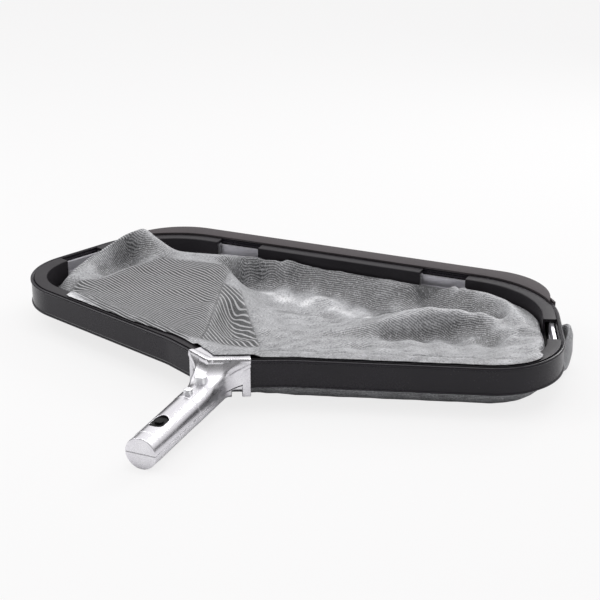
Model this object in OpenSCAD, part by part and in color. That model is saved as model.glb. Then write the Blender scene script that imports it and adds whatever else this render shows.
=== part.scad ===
// Leaf skimmer net head: a black hoop frame with a scoop lip and a mesh bag,
// carried by a split cast handle whose round shank slides into a telescopic pole.
//
// Plan view: X is the width of the hoop, Y runs from the pole towards the lip.
// The near bow of the hoop comes to a blunt point, its apex, where the handle holds it.
// The head stands on the floor at Z = 0, on its bag and on the end of its shank.

/* [Hoop plan] */
// Angle of each arm of the near bow at the handle, from the X axis
bow_angle = 25.8; // [20:0.1:30]
// Straight length of each arm next to the handle
bow_len = 62; // [50:1:80]
// How much each arm bends back after that
bend_angle = 7.5; // [2:0.5:10]
// Radius of that bend, on the outer face
bend_r = 60; // [40:1:120]
// Straight length of each arm beyond the bend
arm_len = 167.5; // [150:0.5:190]
// Corner radius between arm and side, on the outer face
front_r = 68.5; // [55:0.5:80]
// Lean of the straight sides, from the Y axis
side_lean = 19.3; // [12:0.1:25]
// Length of the straight sides
side_len = 61; // [56:1:80]
// Corner radius between side and rear, on the outer face
rear_r = 100; // [80:1:115]

/* [Hoop section] */
// Height of the hoop's bottom edge above the floor
rim_base = 19; // [16:0.5:24]
// Height of the hoop
rim_h = 26; // [25:0.5:32]
// Thickness of the hoop's outer wall
rim_wall = 2.5; // [2:0.1:2.8]
// Thickness of the hoop's bottom flange
rim_floor = 2.2; // [1.6:0.1:3]
// Radius of the beads along the top and bottom edges
bead_r = 1.6; // [1:0.1:1.8]
// How far the beads stand out from the outer wall
bead_out = 1; // [0.5:0.1:1.4]
// Distance of the two ends of the hoop from the apex
rim_start = 9; // [8.5:0.5:11]

/* [Hoop bar] */
// Distance of the flat bar from the outer face of the hoop
bar_set = 5.5; // [5.2:0.1:6.5]
// Thickness of the flat bar
bar_t = 3; // [2:0.5:3.5]
// Height of the flat bar
bar_h = 19; // [15:0.5:19.4]

/* [Net retainers] */
// Width of the ledge and skirt together, from the outer face
ledge_w = 15.5; // [15:0.5:18]
// Thickness of the ledge
ledge_t = 2.8; // [2:0.1:3]
// Thickness of the skirt
skirt_t = 2.2; // [1.6:0.1:2.4]
// Clear height under the skirt, for the net to pass
skirt_gap = 3; // [2:0.5:6]
// Width of the groove between the bead and the ledge
groove_w = 0.5; // [0.3:0.1:1]
// Length of the window in each side
side_window = 47; // [40:1:50]
// Length of each window in the rear
rear_window = 48; // [40:1:56]
// Straight run of the corner retainer before the rear window
rear_tail = 13; // [6:1:20]

/* [Scoop lip] */
// Reach of the lip behind the rear of the hoop
lip_reach = 17; // [12:0.5:22]
// Thickness of the lip at its root
lip_t = 2.2; // [1.8:0.1:3]
// Corner radius of the lip
lip_r = 65; // [55:1:70]
// Distance of the centre of that corner from the side of the hoop, in X
lip_inset = 100.3; // [96:0.1:107]
// Thickness of the lip's plate against the hoop's outer wall
lip_plate = 2; // [1.6:0.1:2.6]
// Share of the rear corner that the lip's plate covers
lip_cover = 0.78; // [0.7:0.01:0.9]

/* [Net] */
// Thickness of the hem tape
hem_t = 0.8; // [0.5:0.1:0.9]
// Thickness of the bag's solid, which holds the mesh and its small folds
bag_t = 2; // [1.6:0.1:3]
// Height of the bag's tallest fold, by the left rear corner
tent_h = 66; // [50:1:70]
// Height of the folds across the middle of the bag
fold_h = 34; // [20:1:36]

/* [Shank] */
// Radius of the shank, over the length that goes into the pole
shank_r = 14.25; // [14:0.05:14.5]
// Length that goes into the pole
pole_len = 75.5; // [74:0.5:77]
// How much larger the shank's radius is from there on
pole_stop = 0.25; // [0.2:0.05:0.4]
// Length of the lead-in at the shank's end
lead_in = 12; // [11:0.5:14]
// How much smaller the shank's radius is there
lead_less = 0.25; // [0.2:0.05:0.3]
// Distance of the shank's end from the apex
shank_end = 123; // [115:1:150]
// Rise of the shank towards the hoop
shank_rise = 2.4; // [1.5:0.1:3]
// Radius of the bore inside the shank
bore_r = 11.5; // [11:0.1:12]
// Thickness of the end wall of the shank
end_wall = 3; // [2:0.5:5]
// Distance of the lock slots from the shank's end
slot_y = 32; // [28:0.5:36]
// Width of the lock slots
slot_w = 12; // [10:0.5:12]
// Length of the lock slots
slot_len = 20; // [18:0.5:22]
// Width of the chamfer at the shank's end
end_chamfer = 0.5; // [0.2:0.1:1]

/* [Bracket] */
// Length of the left arm that the bracket wraps, from the apex
wrap_left = 27; // [24:0.5:30]
// Length of the right arm that the bracket wraps, from the apex
wrap_right = 34; // [30:0.5:38]
// Clearance between the bracket's wall and the hoop's beads
wrap_gap = 0.2; // [0.1:0.1:0.5]
// Thickness of the bracket's wall in front of the hoop
wrap_wall = 2.6; // [2:0.1:3.5]
// Thickness of the bracket's plate on top of the hoop
wrap_top = 2.7; // [2:0.1:4]
// Depth of the bracket's hook behind the hoop
hook_h = 7; // [4:0.5:8]
// Thickness of the bracket's foot under the hoop
foot_t = 6.8; // [5:0.1:8]
// Reach of the foot under the hoop, from the outer face
foot_reach = 6; // [4:0.5:7]
// Rise of the parting line from the shank to the notches
part_up = 4.2; // [3.6:0.1:5]
// Gap that shows along the parting line
seam = 0.3; // [0.1:0.1:0.4]
// Radius of the fillets between the shank and the arms, in plan
fillet_r = 20; // [14:0.5:20]
// Radius of the cove between the shank's top and the top plate
cove_r = 14.5; // [13:0.5:16]
// Distance of the cove's start from the apex
cove_back = 13; // [12:0.5:14]
// Width of each notch in the foot
notch_w = 9; // [6:0.5:10]
// Length of the foot's leg outside each notch
notch_leg = 5.5; // [4:0.5:8]

/* [Fasteners] */
// Distance of the clamp bolt from the apex
clamp_back = 18; // [17:0.5:20]
// Radius of the clamp bolt
clamp_r = 4; // [3:0.5:4]
// Radius of the clamp bolt's head
clamp_head_r = 6.5; // [6:0.1:7]
// Height of the clamp bolt's head
clamp_head_h = 5; // [4:0.5:6]
// Width of the clamp nut, which is square
clamp_side = 11; // [10:0.5:12]
// Height of the clamp nut
clamp_nut_h = 6.5; // [5:0.5:7]
// Distance of the shank screw from the apex
screw_back = 41; // [38:0.5:44]
// Radius of the shank screw
screw_r = 2.5; // [2:0.5:3]
// Radius of the shank screw's head
screw_head_r = 4.2; // [4:0.1:4.5]
// Height of the shank screw's head
screw_head_h = 3; // [2:0.5:4]
// Width of the shank nut, which is square
screw_side = 7.5; // [7:0.5:8.5]
// Height of the shank nut
screw_nut_h = 5; // [4:0.5:6]
// Radius of the screws that hold the flat bar
bar_screw_r = 1.9; // [1.5:0.1:2.5]
// Radius of their heads
bar_head_r = 3.6; // [3:0.1:4]
// Height of their heads
bar_head_h = 1.4; // [1:0.1:1.8]

/* [Spring clip] */
// Thickness of the spring strip
strip_t = 1.2; // [0.8:0.1:1.4]
// Width of the spring strip
strip_w = 9; // [7:0.5:9]
// Distance of the clip's bend from the shank's end
bend_y = 66; // [62:0.5:68]
// Inner radius of the clip's bend
bow_in = 3.4; // [3:0.1:4]
// Distance of the legs' tips from the shank's end
tip_y = 24; // [22:0.5:25]
// Spread of each leg
leg_spread = 7.4; // [6:0.1:7.6]
// Radius of the lock buttons
button_r = 3.8; // [3:0.1:4]
// How far the lock buttons stand out of the shank
button_out = 0.15; // [0.05:0.05:0.2]
// Depth of the button pads below the shank's surface
pad_depth = 1.9; // [1.4:0.1:2.2]
// Clearance between the pads and the slots, along the slot
pad_play = 1.2; // [1.1:0.1:1.6]

/* [Hidden] */
$fn = 96;

// Clearances that fits and gaps share
fit = 0.2;
hole_fit = 0.1;
body_gap = 0.3;

// Heights in the hoop's section
rim_top = rim_base + rim_h;
flange_top = rim_base + rim_floor;
bar_in = bar_set + bar_t;
hem_in = bar_in + hem_t;
hem_out = bar_set - hem_t;
bar_top = flange_top + bar_h;
ledge_z = rim_top - ledge_t;

// ---------------------------------------------------------------- the hoop's path
// The right half of the outer face, from the apex to the middle of the rear.
// Each step is [length of a straight, radius of an arc, turn of the arc to the left].
front_turn = 90 + side_lean - (bow_angle - bend_angle);
rear_turn = 90 - side_lean;
STEPS = [[bow_len, 0, 0], [0, bend_r, -bend_angle], [arm_len, 0, 0],
         [0, front_r, front_turn], [side_len, 0, 0], [0, rear_r, rear_turn]];
BOW = 0;
BEND = 1;
ARM = 2;
FRONT = 3;
SIDE = 4;
REAR = 5;
BACK = 6;

function dir(a) = [cos(a), sin(a)];
// Heading at the start of step i, and the point where it starts
function heading(i) = i == 0 ? bow_angle : heading(i - 1) + STEPS[i - 1][2];
function arc_move(r, h, t) = sign(t) * r * (dir(h - sign(t) * 90 + t) - dir(h - sign(t) * 90)) * sign(t);
function move(s, h) = s[2] == 0 ? s[0] * dir(h) : arc_move(s[1], h, s[2]);
function start(i) = i == 0 ? [0, 0] : start(i - 1) + move(STEPS[i - 1], heading(i - 1));

back_start = start(BACK);
back_len = back_start.x;
rear_y = back_start.y;
half_width = start(SIDE).x;
function step(i) = i == BACK ? [back_len, 0, 0] : STEPS[i];

// A point at share f of step i, at the distance out from the outer face
function along(i, f, out) =
    let (s = step(i), h = heading(i), p = start(i), t = s[2] * f)
    s[2] == 0 ? p + s[0] * f * dir(h) + out * dir(h - 90)
              : p + arc_move(s[1], h, t) + out * dir(h + t - 90);

// The whole part is centred in Y between the shank's end and the lip's edge
lip_edge = rear_y + lip_reach;
near_edge = -shank_end - (shank_r - lead_less - end_chamfer) * sin(shank_rise);
middle_y = (lip_edge + near_edge) / 2;
module in_place() {
    translate([0, -middle_y, 0]) children();
}

// Bands follow the hoop between two distances out and two heights. A chain says along
// what: a list of steps, each with the shares where it starts and ends.
arc_step = 5;
function stops(chain) = concat(
    [for (c = chain)
        let (n = max(1, ceil(abs(step(c[0])[2]) * (c[2] - c[1]) / arc_step)))
        for (k = [0 : n - 1]) [c[0], c[1] + (c[2] - c[1]) * k / n]],
    [[chain[len(chain) - 1][0], chain[len(chain) - 1][2]]]);
function edge(chain, out) = [for (s = stops(chain)) along(s[0], s[1], out)];
function backwards(points) = [for (k = [len(points) - 1 : -1 : 0]) points[k]];
function mirrored(points) = [for (p = backwards(points)) [-p.x, p.y]];
// A chain that ends in the middle of the rear goes on round the left side
function whole(points) = concat(points, [for (p = mirrored(points)) if (p.x < 0) p]);

module band(chain, out_a, out_b, z_a, z_b) {
    translate([0, 0, z_a]) linear_extrude(z_b - z_a)
        polygon(concat(edge(chain, out_b), backwards(edge(chain, out_a))));
}

module whole_band(chain, out_a, out_b, z_a, z_b) {
    translate([0, 0, z_a]) linear_extrude(z_b - z_a)
        polygon(concat(whole(edge(chain, out_b)), backwards(whole(edge(chain, out_a)))));
}

// From a distance along each arm to the middle of the rear
function hoop_chain(from) = [[BOW, from / bow_len, 1], [BEND, 0, 1], [ARM, 0, 1], [FRONT, 0, 1],
    [SIDE, 0, 1], [REAR, 0, 1], [BACK, 0, 1]];

module both_sides() {
    children();
    mirror([1, 0, 0]) children();
}

// Carries a section along the straight next to the handle, between two distances from
// the apex. The section's X is the distance out, and its Y is the height.
module on_arm(from, to) {
    translate(along(BOW, to / bow_len, 0)) rotate([90, 0, bow_angle - 90])
        linear_extrude(to - from) children();
}

// A rectangle in that section
module block(out_a, out_b, z_a, z_b) {
    translate([out_a, z_a]) square([out_b - out_a, z_b - z_a]);
}

// ---------------------------------------------------------------- hoop frame
rib_h = 5;
rib_z = flange_top + bar_h / 2 - rib_h / 2;
shoulder_w = groove_w + 1.3;
shoulder_h = 2;

// Each bead is a step as high as its share of the radius says, and stands out as far
BEAD_STEPS = [[0.8, 0.7], [0.5, 1]];

module rim_band(out_a, out_b, z_a, z_b) {
    whole_band(hoop_chain(rim_start), out_a, out_b, z_a, z_b);
}

module rim_solid() {
    rim_band(-rim_wall, 0, rim_base, rim_top);
    rim_band(-bar_in, -rim_wall / 2, rim_base, flange_top);
    rim_band(-bar_set, -rim_wall / 2, rib_z, rib_z + rib_h);
    rim_band(-rim_wall - shoulder_w, -rim_wall / 2, ledge_z - shoulder_h, ledge_z);
    for (z = [rim_base + bead_r, rim_top - bead_r])
        for (b = BEAD_STEPS)
            rim_band(-rim_wall / 2, b[1] * bead_out, z - b[0] * bead_r, z + b[0] * bead_r);
}

module rim_frame() {
    color("#2e2c30") in_place() difference() {
        rim_solid();
        bar_screw_places() bar_screw_hole();
    }
}

module hoop_bar() {
    color("#b9bcc0") in_place() difference() {
        rim_band(-bar_in, -bar_set, flange_top, bar_top);
        bar_screw_places() bar_screw_hole();
    }
}

// Where the flat bar is screwed to the frame: step and share, on both sides
bar_screw_spots = [[ARM, 0.3], [ARM, 0.75], [BACK, 0.7]];
screw_skin = 1.2;

module bar_screw_places() {
    both_sides()
        for (spot = bar_screw_spots)
            translate(concat(along(spot[0], spot[1], 0), [rib_z + rib_h / 2]))
                rotate([0, 0, heading(spot[0]) - 90])
                    rotate([0, 90, 0]) children();
}

module bar_screw_hole() {
    translate([0, 0, -hem_in - bar_head_h]) cylinder(r = bar_screw_r + hole_fit, h = hem_in + bar_head_h - screw_skin);
}

module bar_screws() {
    color("#c9cbce") in_place() bar_screw_places() {
        translate([0, 0, -hem_in - bar_head_h]) cylinder(r = bar_head_r, h = bar_head_h);
        translate([0, 0, -hem_in - bar_head_h]) cylinder(r = bar_screw_r, h = hem_in + bar_head_h - screw_skin);
    }
}

// ---------------------------------------------------------------- net retainers
// Each is a ledge flush with the top of the frame and a skirt down its inner edge.
// Windows between them show the flat bar and the net's hem.
rest_out = rim_wall + groove_w;

module retainer(chain) {
    band(chain, -ledge_w, -rest_out, ledge_z, rim_top);
    band(chain, -ledge_w, -ledge_w + skirt_t, rim_base + skirt_gap, rim_top - ledge_t / 2);
}

function front_chain(wrap) = [[BOW, (wrap + fit) / bow_len, 1], [BEND, 0, 1], [ARM, 0, 1], [FRONT, 0, 1]];
corner_chain = [[SIDE, side_window / side_len, 1], [REAR, 0, 1], [BACK, 0, rear_tail / back_len]];
rear_chain = [[BACK, (rear_tail + rear_window) / back_len, 1]];

module retainer_front_right() {
    color("#3a383b") in_place() retainer(front_chain(wrap_right));
}

module retainer_front_left() {
    color("#3a383b") in_place() mirror([1, 0, 0]) retainer(front_chain(wrap_left));
}

module retainer_rear_right() {
    color("#3a383b") in_place() retainer(corner_chain);
}

module retainer_rear_left() {
    color("#3a383b") in_place() mirror([1, 0, 0]) retainer(corner_chain);
}

module retainer_rear() {
    color("#3a383b") in_place() {
        whole_band(rear_chain, -ledge_w, -rest_out, ledge_z, rim_top);
        whole_band(rear_chain, -ledge_w, -ledge_w + skirt_t, rim_base + skirt_gap, rim_top - ledge_t / 2);
    }
}

// ---------------------------------------------------------------- scoop lip
// A thin blade behind the rear of the hoop, with a plate behind the hoop's beads.
plate_in = bead_out + fit;
plate_out = plate_in + lip_plate;
lip_steps = 16;

// The corner of the blade is an arc about this point. It ends on the plate's line,
// where the circle of radius lip_r meets the circle about the rear corner's centre.
lip_centre = [half_width - lip_inset, lip_edge - lip_r];
rear_centre = along(REAR, 0, -rear_r);
lip_apart = lip_centre - rear_centre;
lip_line = rear_r + plate_in + lip_plate / 2;
lip_along = (lip_apart * lip_apart + lip_line * lip_line - lip_r * lip_r) / (2 * norm(lip_apart));
lip_aside = sqrt(lip_line * lip_line - lip_along * lip_along);
lip_unit = lip_apart / norm(lip_apart);
lip_meet = rear_centre + lip_along * lip_unit + lip_aside * [lip_unit.y, -lip_unit.x];
lip_end = atan2(lip_meet.y - lip_centre.y, lip_meet.x - lip_centre.x);

module lip_blade() {
    outer = [for (k = [0 : lip_steps]) lip_centre + lip_r * dir(90 + (lip_end - 90) * k / lip_steps)];
    inner = [for (k = [0 : lip_steps]) along(REAR, 1 - lip_cover * (1 - k / lip_steps), -rim_wall)];
    half = concat(outer, inner);
    translate([0, 0, rim_top]) linear_extrude(lip_t) polygon(concat(half, mirrored(half)));
}

module scoop_lip() {
    color("#5a5655") in_place() {
        lip_blade();
        whole_band([[REAR, 1 - lip_cover, 1], [BACK, 0, 1]], plate_in, plate_out,
            rim_base + 2 * bead_r, rim_top + lip_t / 2);
    }
}

// ---------------------------------------------------------------- net
// The hem tape folds over the flat bar. Its upper part is cut away in the windows.
hem_low = 9;

// All the way round, with a point at the apex
closed_chain = [[BEND, 0, 1], [ARM, 0, 1], [FRONT, 0, 1], [SIDE, 0, 1], [REAR, 0, 1], [BACK, 0, 1]];
function closed_ring(out) = concat([[0, -out / cos(bow_angle)]], whole(edge(closed_chain, out)));

module hem_ring() {
    translate([0, 0, rim_base]) linear_extrude(bar_top + hem_t / 2 - rim_base) difference() {
        polygon(closed_ring(-bar_in));
        polygon(closed_ring(-hem_in));
    }
}

// The windows, from the low part of the hem up
module hem_window(chain) {
    band(chain, -hem_in - 1, -hem_out + 1, flange_top + hem_low, rim_top);
}

module net_hem() {
    color("#b4b6b8") in_place() difference() {
        union() {
            hem_ring();
            rim_band(-hem_in + hem_t / 3, -hem_out, bar_top, bar_top + hem_t);
            whole_band(hoop_chain(rim_start + 1), -bar_set, -hem_out - hem_t / 4,
                rib_z + rib_h + hem_t, bar_top + hem_t / 2);
        }
        both_sides() {
            hem_window([[SIDE, 0, side_window / side_len]]);
            hem_window([[BACK, rear_tail / back_len, (rear_tail + rear_window) / back_len]]);
        }
        bar_screw_places() bar_screw_hole();
    }
}

// The bag is one closed solid. Rings of points run round the hoop, from the hem down
// to the floor and inward to the middle, and its folds stand up from the floor.
function smooth(t) = let (c = min(1, max(0, t))) c * c * (3 - 2 * c);
function bell(d, w) = exp(-d * d / (2 * w * w));

// Each fold is a ridge: its two ends, its width, and its height as a share of fold_h
FOLDS = [[[-196, 238], [-178, 205], 17, 0],
         [[-226, 170], [-150, 215], 15, 0.9],
         [[-150, 215], [-100, 232], 13, 0.85],
         [[-100, 230], [-40, 165], 13, 0.9],
         [[-40, 165], [4, 96], 12, 0.75],
         [[-180, 284], [-60, 281], 9, 0.7],
         [[-60, 281], [200, 268], 9, 0.6],
         [[-45, 225], [20, 238], 12, 0.75],
         [[20, 190], [90, 240], 12, 0.6],
         [[70, 150], [185, 232], 13, 1],
         [[185, 232], [216, 190], 12, 0.95]];
TENT = 0;

function from_segment(p, a, b) =
    let (v = b - a, t = min(1, max(0, (p - a) * v / (v * v))))
    norm(p - a - t * v);
function ridge(p, k) =
    (flat_below + (k == TENT ? tent_h - bag_t : FOLDS[k][3] * fold_h))
    * bell(from_segment(p, FOLDS[k][0], FOLDS[k][1]), FOLDS[k][2]);
// A fold's last feet lie flat
flat_below = 1.5;
function fold_up(p) = max(0, max([for (k = [0 : len(FOLDS) - 1]) ridge(p, k)]) - flat_below);

// How far the bag bulges out under the hoop: most beyond the right side
bulge_base = -13;
bulge_most = 10;
bulge_y = 215;
bulge_spread = 45;
bulge_from = [150, 80];
function bulge(p) =
    bulge_base + (bulge_most - bulge_base) * bell(p.y - bulge_y, bulge_spread)
    * smooth((p.x - bulge_from[0]) / bulge_from[1]);

// How much the bag is drawn up off the floor, along the left arm. Each pair says
// where the rise starts, and over what length it grows.
drawn_x = [-30, 60];
drawn_y = [230, 90];
function drawn_up(p) = smooth((drawn_x[0] - p.x) / drawn_x[1]) * smooth((drawn_y[0] - p.y) / drawn_y[1]);

// Rings near the hoop: distance out and height of the inner and the outer skin,
// share of the bulge, share of the folds, and lift where the bag is drawn up
WALL_RINGS = [[-hem_in - 1.6, rim_base, -bar_in, rim_base, 0, 0, 0],
              [-hem_in - 1.6, 14, -bar_in, 13, 0.6, 0, 1],
              [-2.2, 7, 0, 6, 1, 0, 8.5],
              [-4, 3, -2.5, 0.8, 1, 0, 14],
              [-7, 2, -7, 0, 1, 0, 13]];
FLOOR_RINGS = [[-22, 0.25, 11], [-25, 0.7, 9.5], [-29, 1, 8]];
// Rings further in are drawn towards a line across the middle: share left, and lift
INNER_RINGS = [[0.86, 5], [0.72, 2], [0.58, 0], [0.44, 0], [0.3, 0], [0.16, 0], [0.04, 0]];
SPINE = [[-130, 190], [130, 190]];

// Stops round the right half of the hoop: step and share, from the apex to the rear
STOPS_PER_STEP = [3, 1, 8, 5, 3, 6, 6];
STOPS = [for (i = [BOW : BACK]) for (k = [0 : STOPS_PER_STEP[i] - 1]) [i, k / STOPS_PER_STEP[i]]];

function stop_point(s, out) = s == [BOW, 0] ? [0, -out / cos(bow_angle)] : along(s[0], s[1], out);
function bulged(s, out, share) =
    let (b = bulge(stop_point(s, 0)))
    stop_point(s, out + share * (share < 1 ? b + bar_in : b));

// The points of each ring round the right half, then round the left
function wall_ring(r, inner) =
    let (half = [for (s = STOPS) bulged(s, r[inner ? 0 : 2], r[4])],
         far = [[0, bulged([BACK, 1], r[inner ? 0 : 2], r[4]).y]],
         left = [for (k = [len(STOPS) - 1 : -1 : 1])
             let (q = stop_point(STOPS[k], r[inner ? 0 : 2] + r[4] * (r[4] < 1 ? bulge_base + bar_in : bulge_base)))
             [-q.x, q.y]])
    concat(half, far, left);
function floor_ring(out) =
    let (half = [for (s = STOPS) stop_point(s, out)],
         left = [for (k = [len(STOPS) - 1 : -1 : 1]) [-half[k].x, half[k].y]])
    concat(half, [[0, rear_y + out]], left);
function on_spine(p) = [min(SPINE[1].x, max(SPINE[0].x, p.x)), SPINE[0].y];
function inner_ring(share) =
    [for (p = floor_ring(FLOOR_RINGS[len(FLOOR_RINGS) - 1][0])) on_spine(p) + share * (p - on_spine(p))];

function top_of(p, share, lift) = bag_t + lift * drawn_up(p) + share * fold_up(p);
function under(p, share, lift) =
    max(lift * drawn_up(p), top_of(p, share, lift) - bag_t - share * fold_up(p) / 8);

function skin(inner) = concat(
    [for (r = WALL_RINGS) for (p = wall_ring(r, inner)) concat(p, [r[inner ? 1 : 3] + r[6] * drawn_up(p) * (r[6] == 1 ? 3 : 1)])],
    [for (r = FLOOR_RINGS) for (p = floor_ring(r[0])) concat(p, [inner ? top_of(p, r[1], r[2]) : under(p, r[1], r[2])])],
    [for (r = INNER_RINGS) for (p = inner_ring(r[0])) concat(p, [inner ? top_of(p, 1, r[1]) : under(p, 1, r[1])])]);

module net_bag() {
    round_n = 2 * len(STOPS);
    ring_n = len(WALL_RINGS) + len(FLOOR_RINGS) + len(INNER_RINGS);
    one = round_n * ring_n;
    last = one - round_n;
    quarter = round_n / 4;
    function at(j, i) = j * round_n + i % round_n;
    // The last ring is closed by triangles between its near and its far side
    function closing(i) = i < quarter - 1
        ? [[i, 2 * quarter - i, i + 1], [i + 1, 2 * quarter - i, 2 * quarter - i - 1]]
        : [[i, i + 2, i + 1]];
    function other_side(f) = [for (k = [2 : -1 : 0]) (round_n - f[k]) % round_n];
    right_close = [for (i = [0 : quarter - 1]) for (f = closing(i)) f];
    all_close = concat(right_close, [for (f = right_close) other_side(f)]);
    inner_faces = concat(
        [for (j = [0 : ring_n - 2]) for (i = [0 : round_n - 1]) for (f = [0, 1])
            f == 0 ? [at(j, i), at(j + 1, i), at(j, i + 1)] : [at(j, i + 1), at(j + 1, i), at(j + 1, i + 1)]],
        [for (f = all_close) [last + f[0], last + f[1], last + f[2]]]);
    outer_faces = [for (f = inner_faces) [one + f[2], one + f[1], one + f[0]]];
    rim_faces = [for (i = [0 : round_n - 1]) for (f = [0, 1])
        f == 0 ? [i, (i + 1) % round_n, one + i] : [(i + 1) % round_n, one + (i + 1) % round_n, one + i]];
    color("#9b9c9e") in_place()
        polyhedron(concat(skin(true), skin(false)), concat(inner_faces, outer_faces, rim_faces));
}

// ---------------------------------------------------------------- handle
// The handle's own frame: Y along the shank's axis from its end, Z away from the floor
module on_shank() {
    translate([0, -shank_end, shank_r - lead_less]) rotate([shank_rise, 0, 0]) children();
}

module along_shank(from, radius, length) {
    translate([0, from, 0]) rotate([-90, 0, 0]) cylinder(r = radius, h = length);
}

wrap_in = bead_out + wrap_gap;
wrap_out = wrap_in + wrap_wall;
wrap_z = rim_top + wrap_top;
foot_z = rim_base - foot_t;
hook_in = hem_in + 1;
// Parts of the casting run this far into each other, and this point lies in its wall
bite = 0.8;
in_wall = [0, -(wrap_in + bite / 3) / cos(bow_angle)];
shank_len = shank_end - wrap_in - body_gap;
lead_r = shank_r - lead_less;
bore_end = bend_y + bow_in + strip_t + body_gap;
clamp_y = shank_end - clamp_back;
screw_y = shank_end - screw_back;
head_seat = shank_r - 2.2;

module shank_solid() {
    on_shank() {
        rotate([-90, 0, 0])
            cylinder(r1 = lead_r - end_chamfer, r2 = lead_r, h = end_chamfer);
        along_shank(end_chamfer, lead_r, lead_in);
        along_shank(lead_in, shank_r, pole_len - lead_in + end_chamfer);
        along_shank(pole_len, shank_r + pole_stop, shank_len - pole_len);
    }
}

// The shank's round top sweeps up to the plate
module riser() {
    bend = shank_r + cove_r;
    elbow_r = shank_r - bite;
    intersection() {
        on_shank() translate([0, shank_end - cove_back, bend]) rotate([0, 90, 0])
            rotate_extrude(angle = 90) translate([bend, 0]) circle(elbow_r);
        linear_extrude(wrap_z) polygon([[-bow_len, bow_len * tan(bow_angle) + in_wall.y],
            in_wall, [bow_len, bow_len * tan(bow_angle) + in_wall.y],
            [bow_len, -shank_end], [-bow_len, -shank_end]]);
    }
}

// Wall in front of each arm, plate on top of it and hook behind it. The two arms'
// plates and hooks meet in the middle, and neither runs on into the other arm.
module wrap(reach) {
    intersection() {
        on_arm(0, reach) polygon([[wrap_in, foot_z], [wrap_out, foot_z],
            [wrap_out, wrap_z - 1.5], [wrap_out - 0.5, wrap_z - 0.5], [wrap_out - 1.5, wrap_z],
            [-hook_in - wrap_wall, wrap_z], [-hook_in - wrap_wall, rim_top - hook_h],
            [-hook_in, rim_top - hook_h], [-hook_in, rim_top], [wrap_in, rim_top]]);
        translate([-bite, -reach, 0]) cube([2 * reach, 3 * reach, 2 * rim_top]);
    }
}

// Web between the shank's side and an arm: its fillet's centre, and its foot on the wall
fillet_x = shank_r - bite + fillet_r;
fillet_y = (fillet_x * sin(bow_angle) - (wrap_out - bite + fillet_r)) / cos(bow_angle);
fillet_s = fillet_x * cos(bow_angle) + fillet_y * sin(bow_angle);
web_foot = foot_z + 1;
web_low = rim_base + 7;
web_high = rim_top - 4;

module web() {
    intersection() {
        translate([0, 0, web_foot]) linear_extrude(web_high - web_foot) difference() {
            polygon([[0, fillet_y], [fillet_x, fillet_y],
                along(BOW, fillet_s / bow_len, wrap_out - bite),
                along(BOW, fillet_s / bow_len, wrap_in + bite / 2), in_wall]);
            translate([fillet_x, fillet_y]) circle(fillet_r);
        }
        translate([0, shank_end, 0]) rotate([90, 0, 0]) linear_extrude(2 * shank_end)
            polygon([[-1, 0], [wrap_right, 0], [wrap_right, web_high], [shank_r, web_low], [-1, web_low]]);
    }
}

// Tongue between the two ends of the hoop
tongue_w = 2 * along(BOW, rim_start / bow_len, -hem_in).x - 2 * hem_t - 2 * fit;
tongue_y = bar_in / cos(bow_angle) - fit;
// The wall in front of the apex stops here, and the riser takes its place
front_clear = 11;

// The notch cut up into each arm's wall from below, clear of the shank
notch_top = rim_base + 0.5;
module notch(reach) {
    difference() {
        on_arm(reach - notch_leg - notch_w, reach - notch_leg)
            block(-hook_in, wrap_out + 4, foot_z - 1, notch_top);
        translate([-1, -wrap_right, 0]) cube([shank_r + 2, 2 * wrap_right, rim_top]);
    }
}

module casting() {
    difference() {
        union() {
            shank_solid();
            riser();
            difference() {
                union() {
                    wrap(wrap_right);
                    mirror([1, 0, 0]) wrap(wrap_left);
                }
                translate([-front_clear, -wrap_right, rim_base + rim_h / 2])
                    cube([2 * front_clear, wrap_right + 1, rim_h]);
            }
            both_sides() {
                web();
                on_arm(0, wrap_left - notch_leg - notch_w)
                    block(-foot_reach, wrap_in + bite, foot_z, rim_base);
            }
            translate([-tongue_w / 2, -cove_back / 4, foot_z])
                cube([tongue_w, tongue_y + cove_back / 4, wrap_z - foot_z]);
        }
        notch(wrap_right);
        mirror([1, 0, 0]) notch(wrap_left);
        on_shank() {
            along_shank(end_wall, bore_r, bore_end - end_wall);
            for (up = [-1, 1]) slot_cut(up);
            translate([0, clamp_y, -2 * shank_r]) cylinder(r = clamp_r + hole_fit, h = 4 * shank_r);
            translate([0, clamp_y, -2 * shank_r]) cylinder(r = clamp_head_r + fit, h = 2 * shank_r - head_seat + clamp_head_h);
            translate([0, screw_y, -2 * shank_r]) cylinder(r = screw_r + hole_fit, h = 4 * shank_r);
            translate([0, screw_y, -2 * shank_r]) cylinder(r = screw_head_r + fit, h = 2 * shank_r - head_seat + screw_head_h);
            translate([0, clamp_y, 0]) nut_seat(clamp_side, clamp_nut_h);
            translate([0, screw_y, 0]) nut_seat(screw_side, screw_nut_h);
        }
    }
}

// A flat seat for a nut on the shank's crest, open to both sides
module nut_seat(side, h) {
    translate([-side, -side / 2 - fit, shank_r]) cube([2 * side, side + 2 * fit, h + 1]);
}

// A slot through one wall of the shank, with round ends
module slot_cut(up) {
    mirror([0, 0, up > 0 ? 0 : 1]) translate([0, slot_y, shank_r / 2]) stadium(slot_w, slot_len, shank_r);
}

module stadium(w, l, h) {
    translate([-w / 2, -(l - w) / 2, 0]) cube([w, l - w, h]);
    for (s = [-1, 1]) translate([0, s * (l - w) / 2, 0]) cylinder(d = w, h = h);
}

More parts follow.
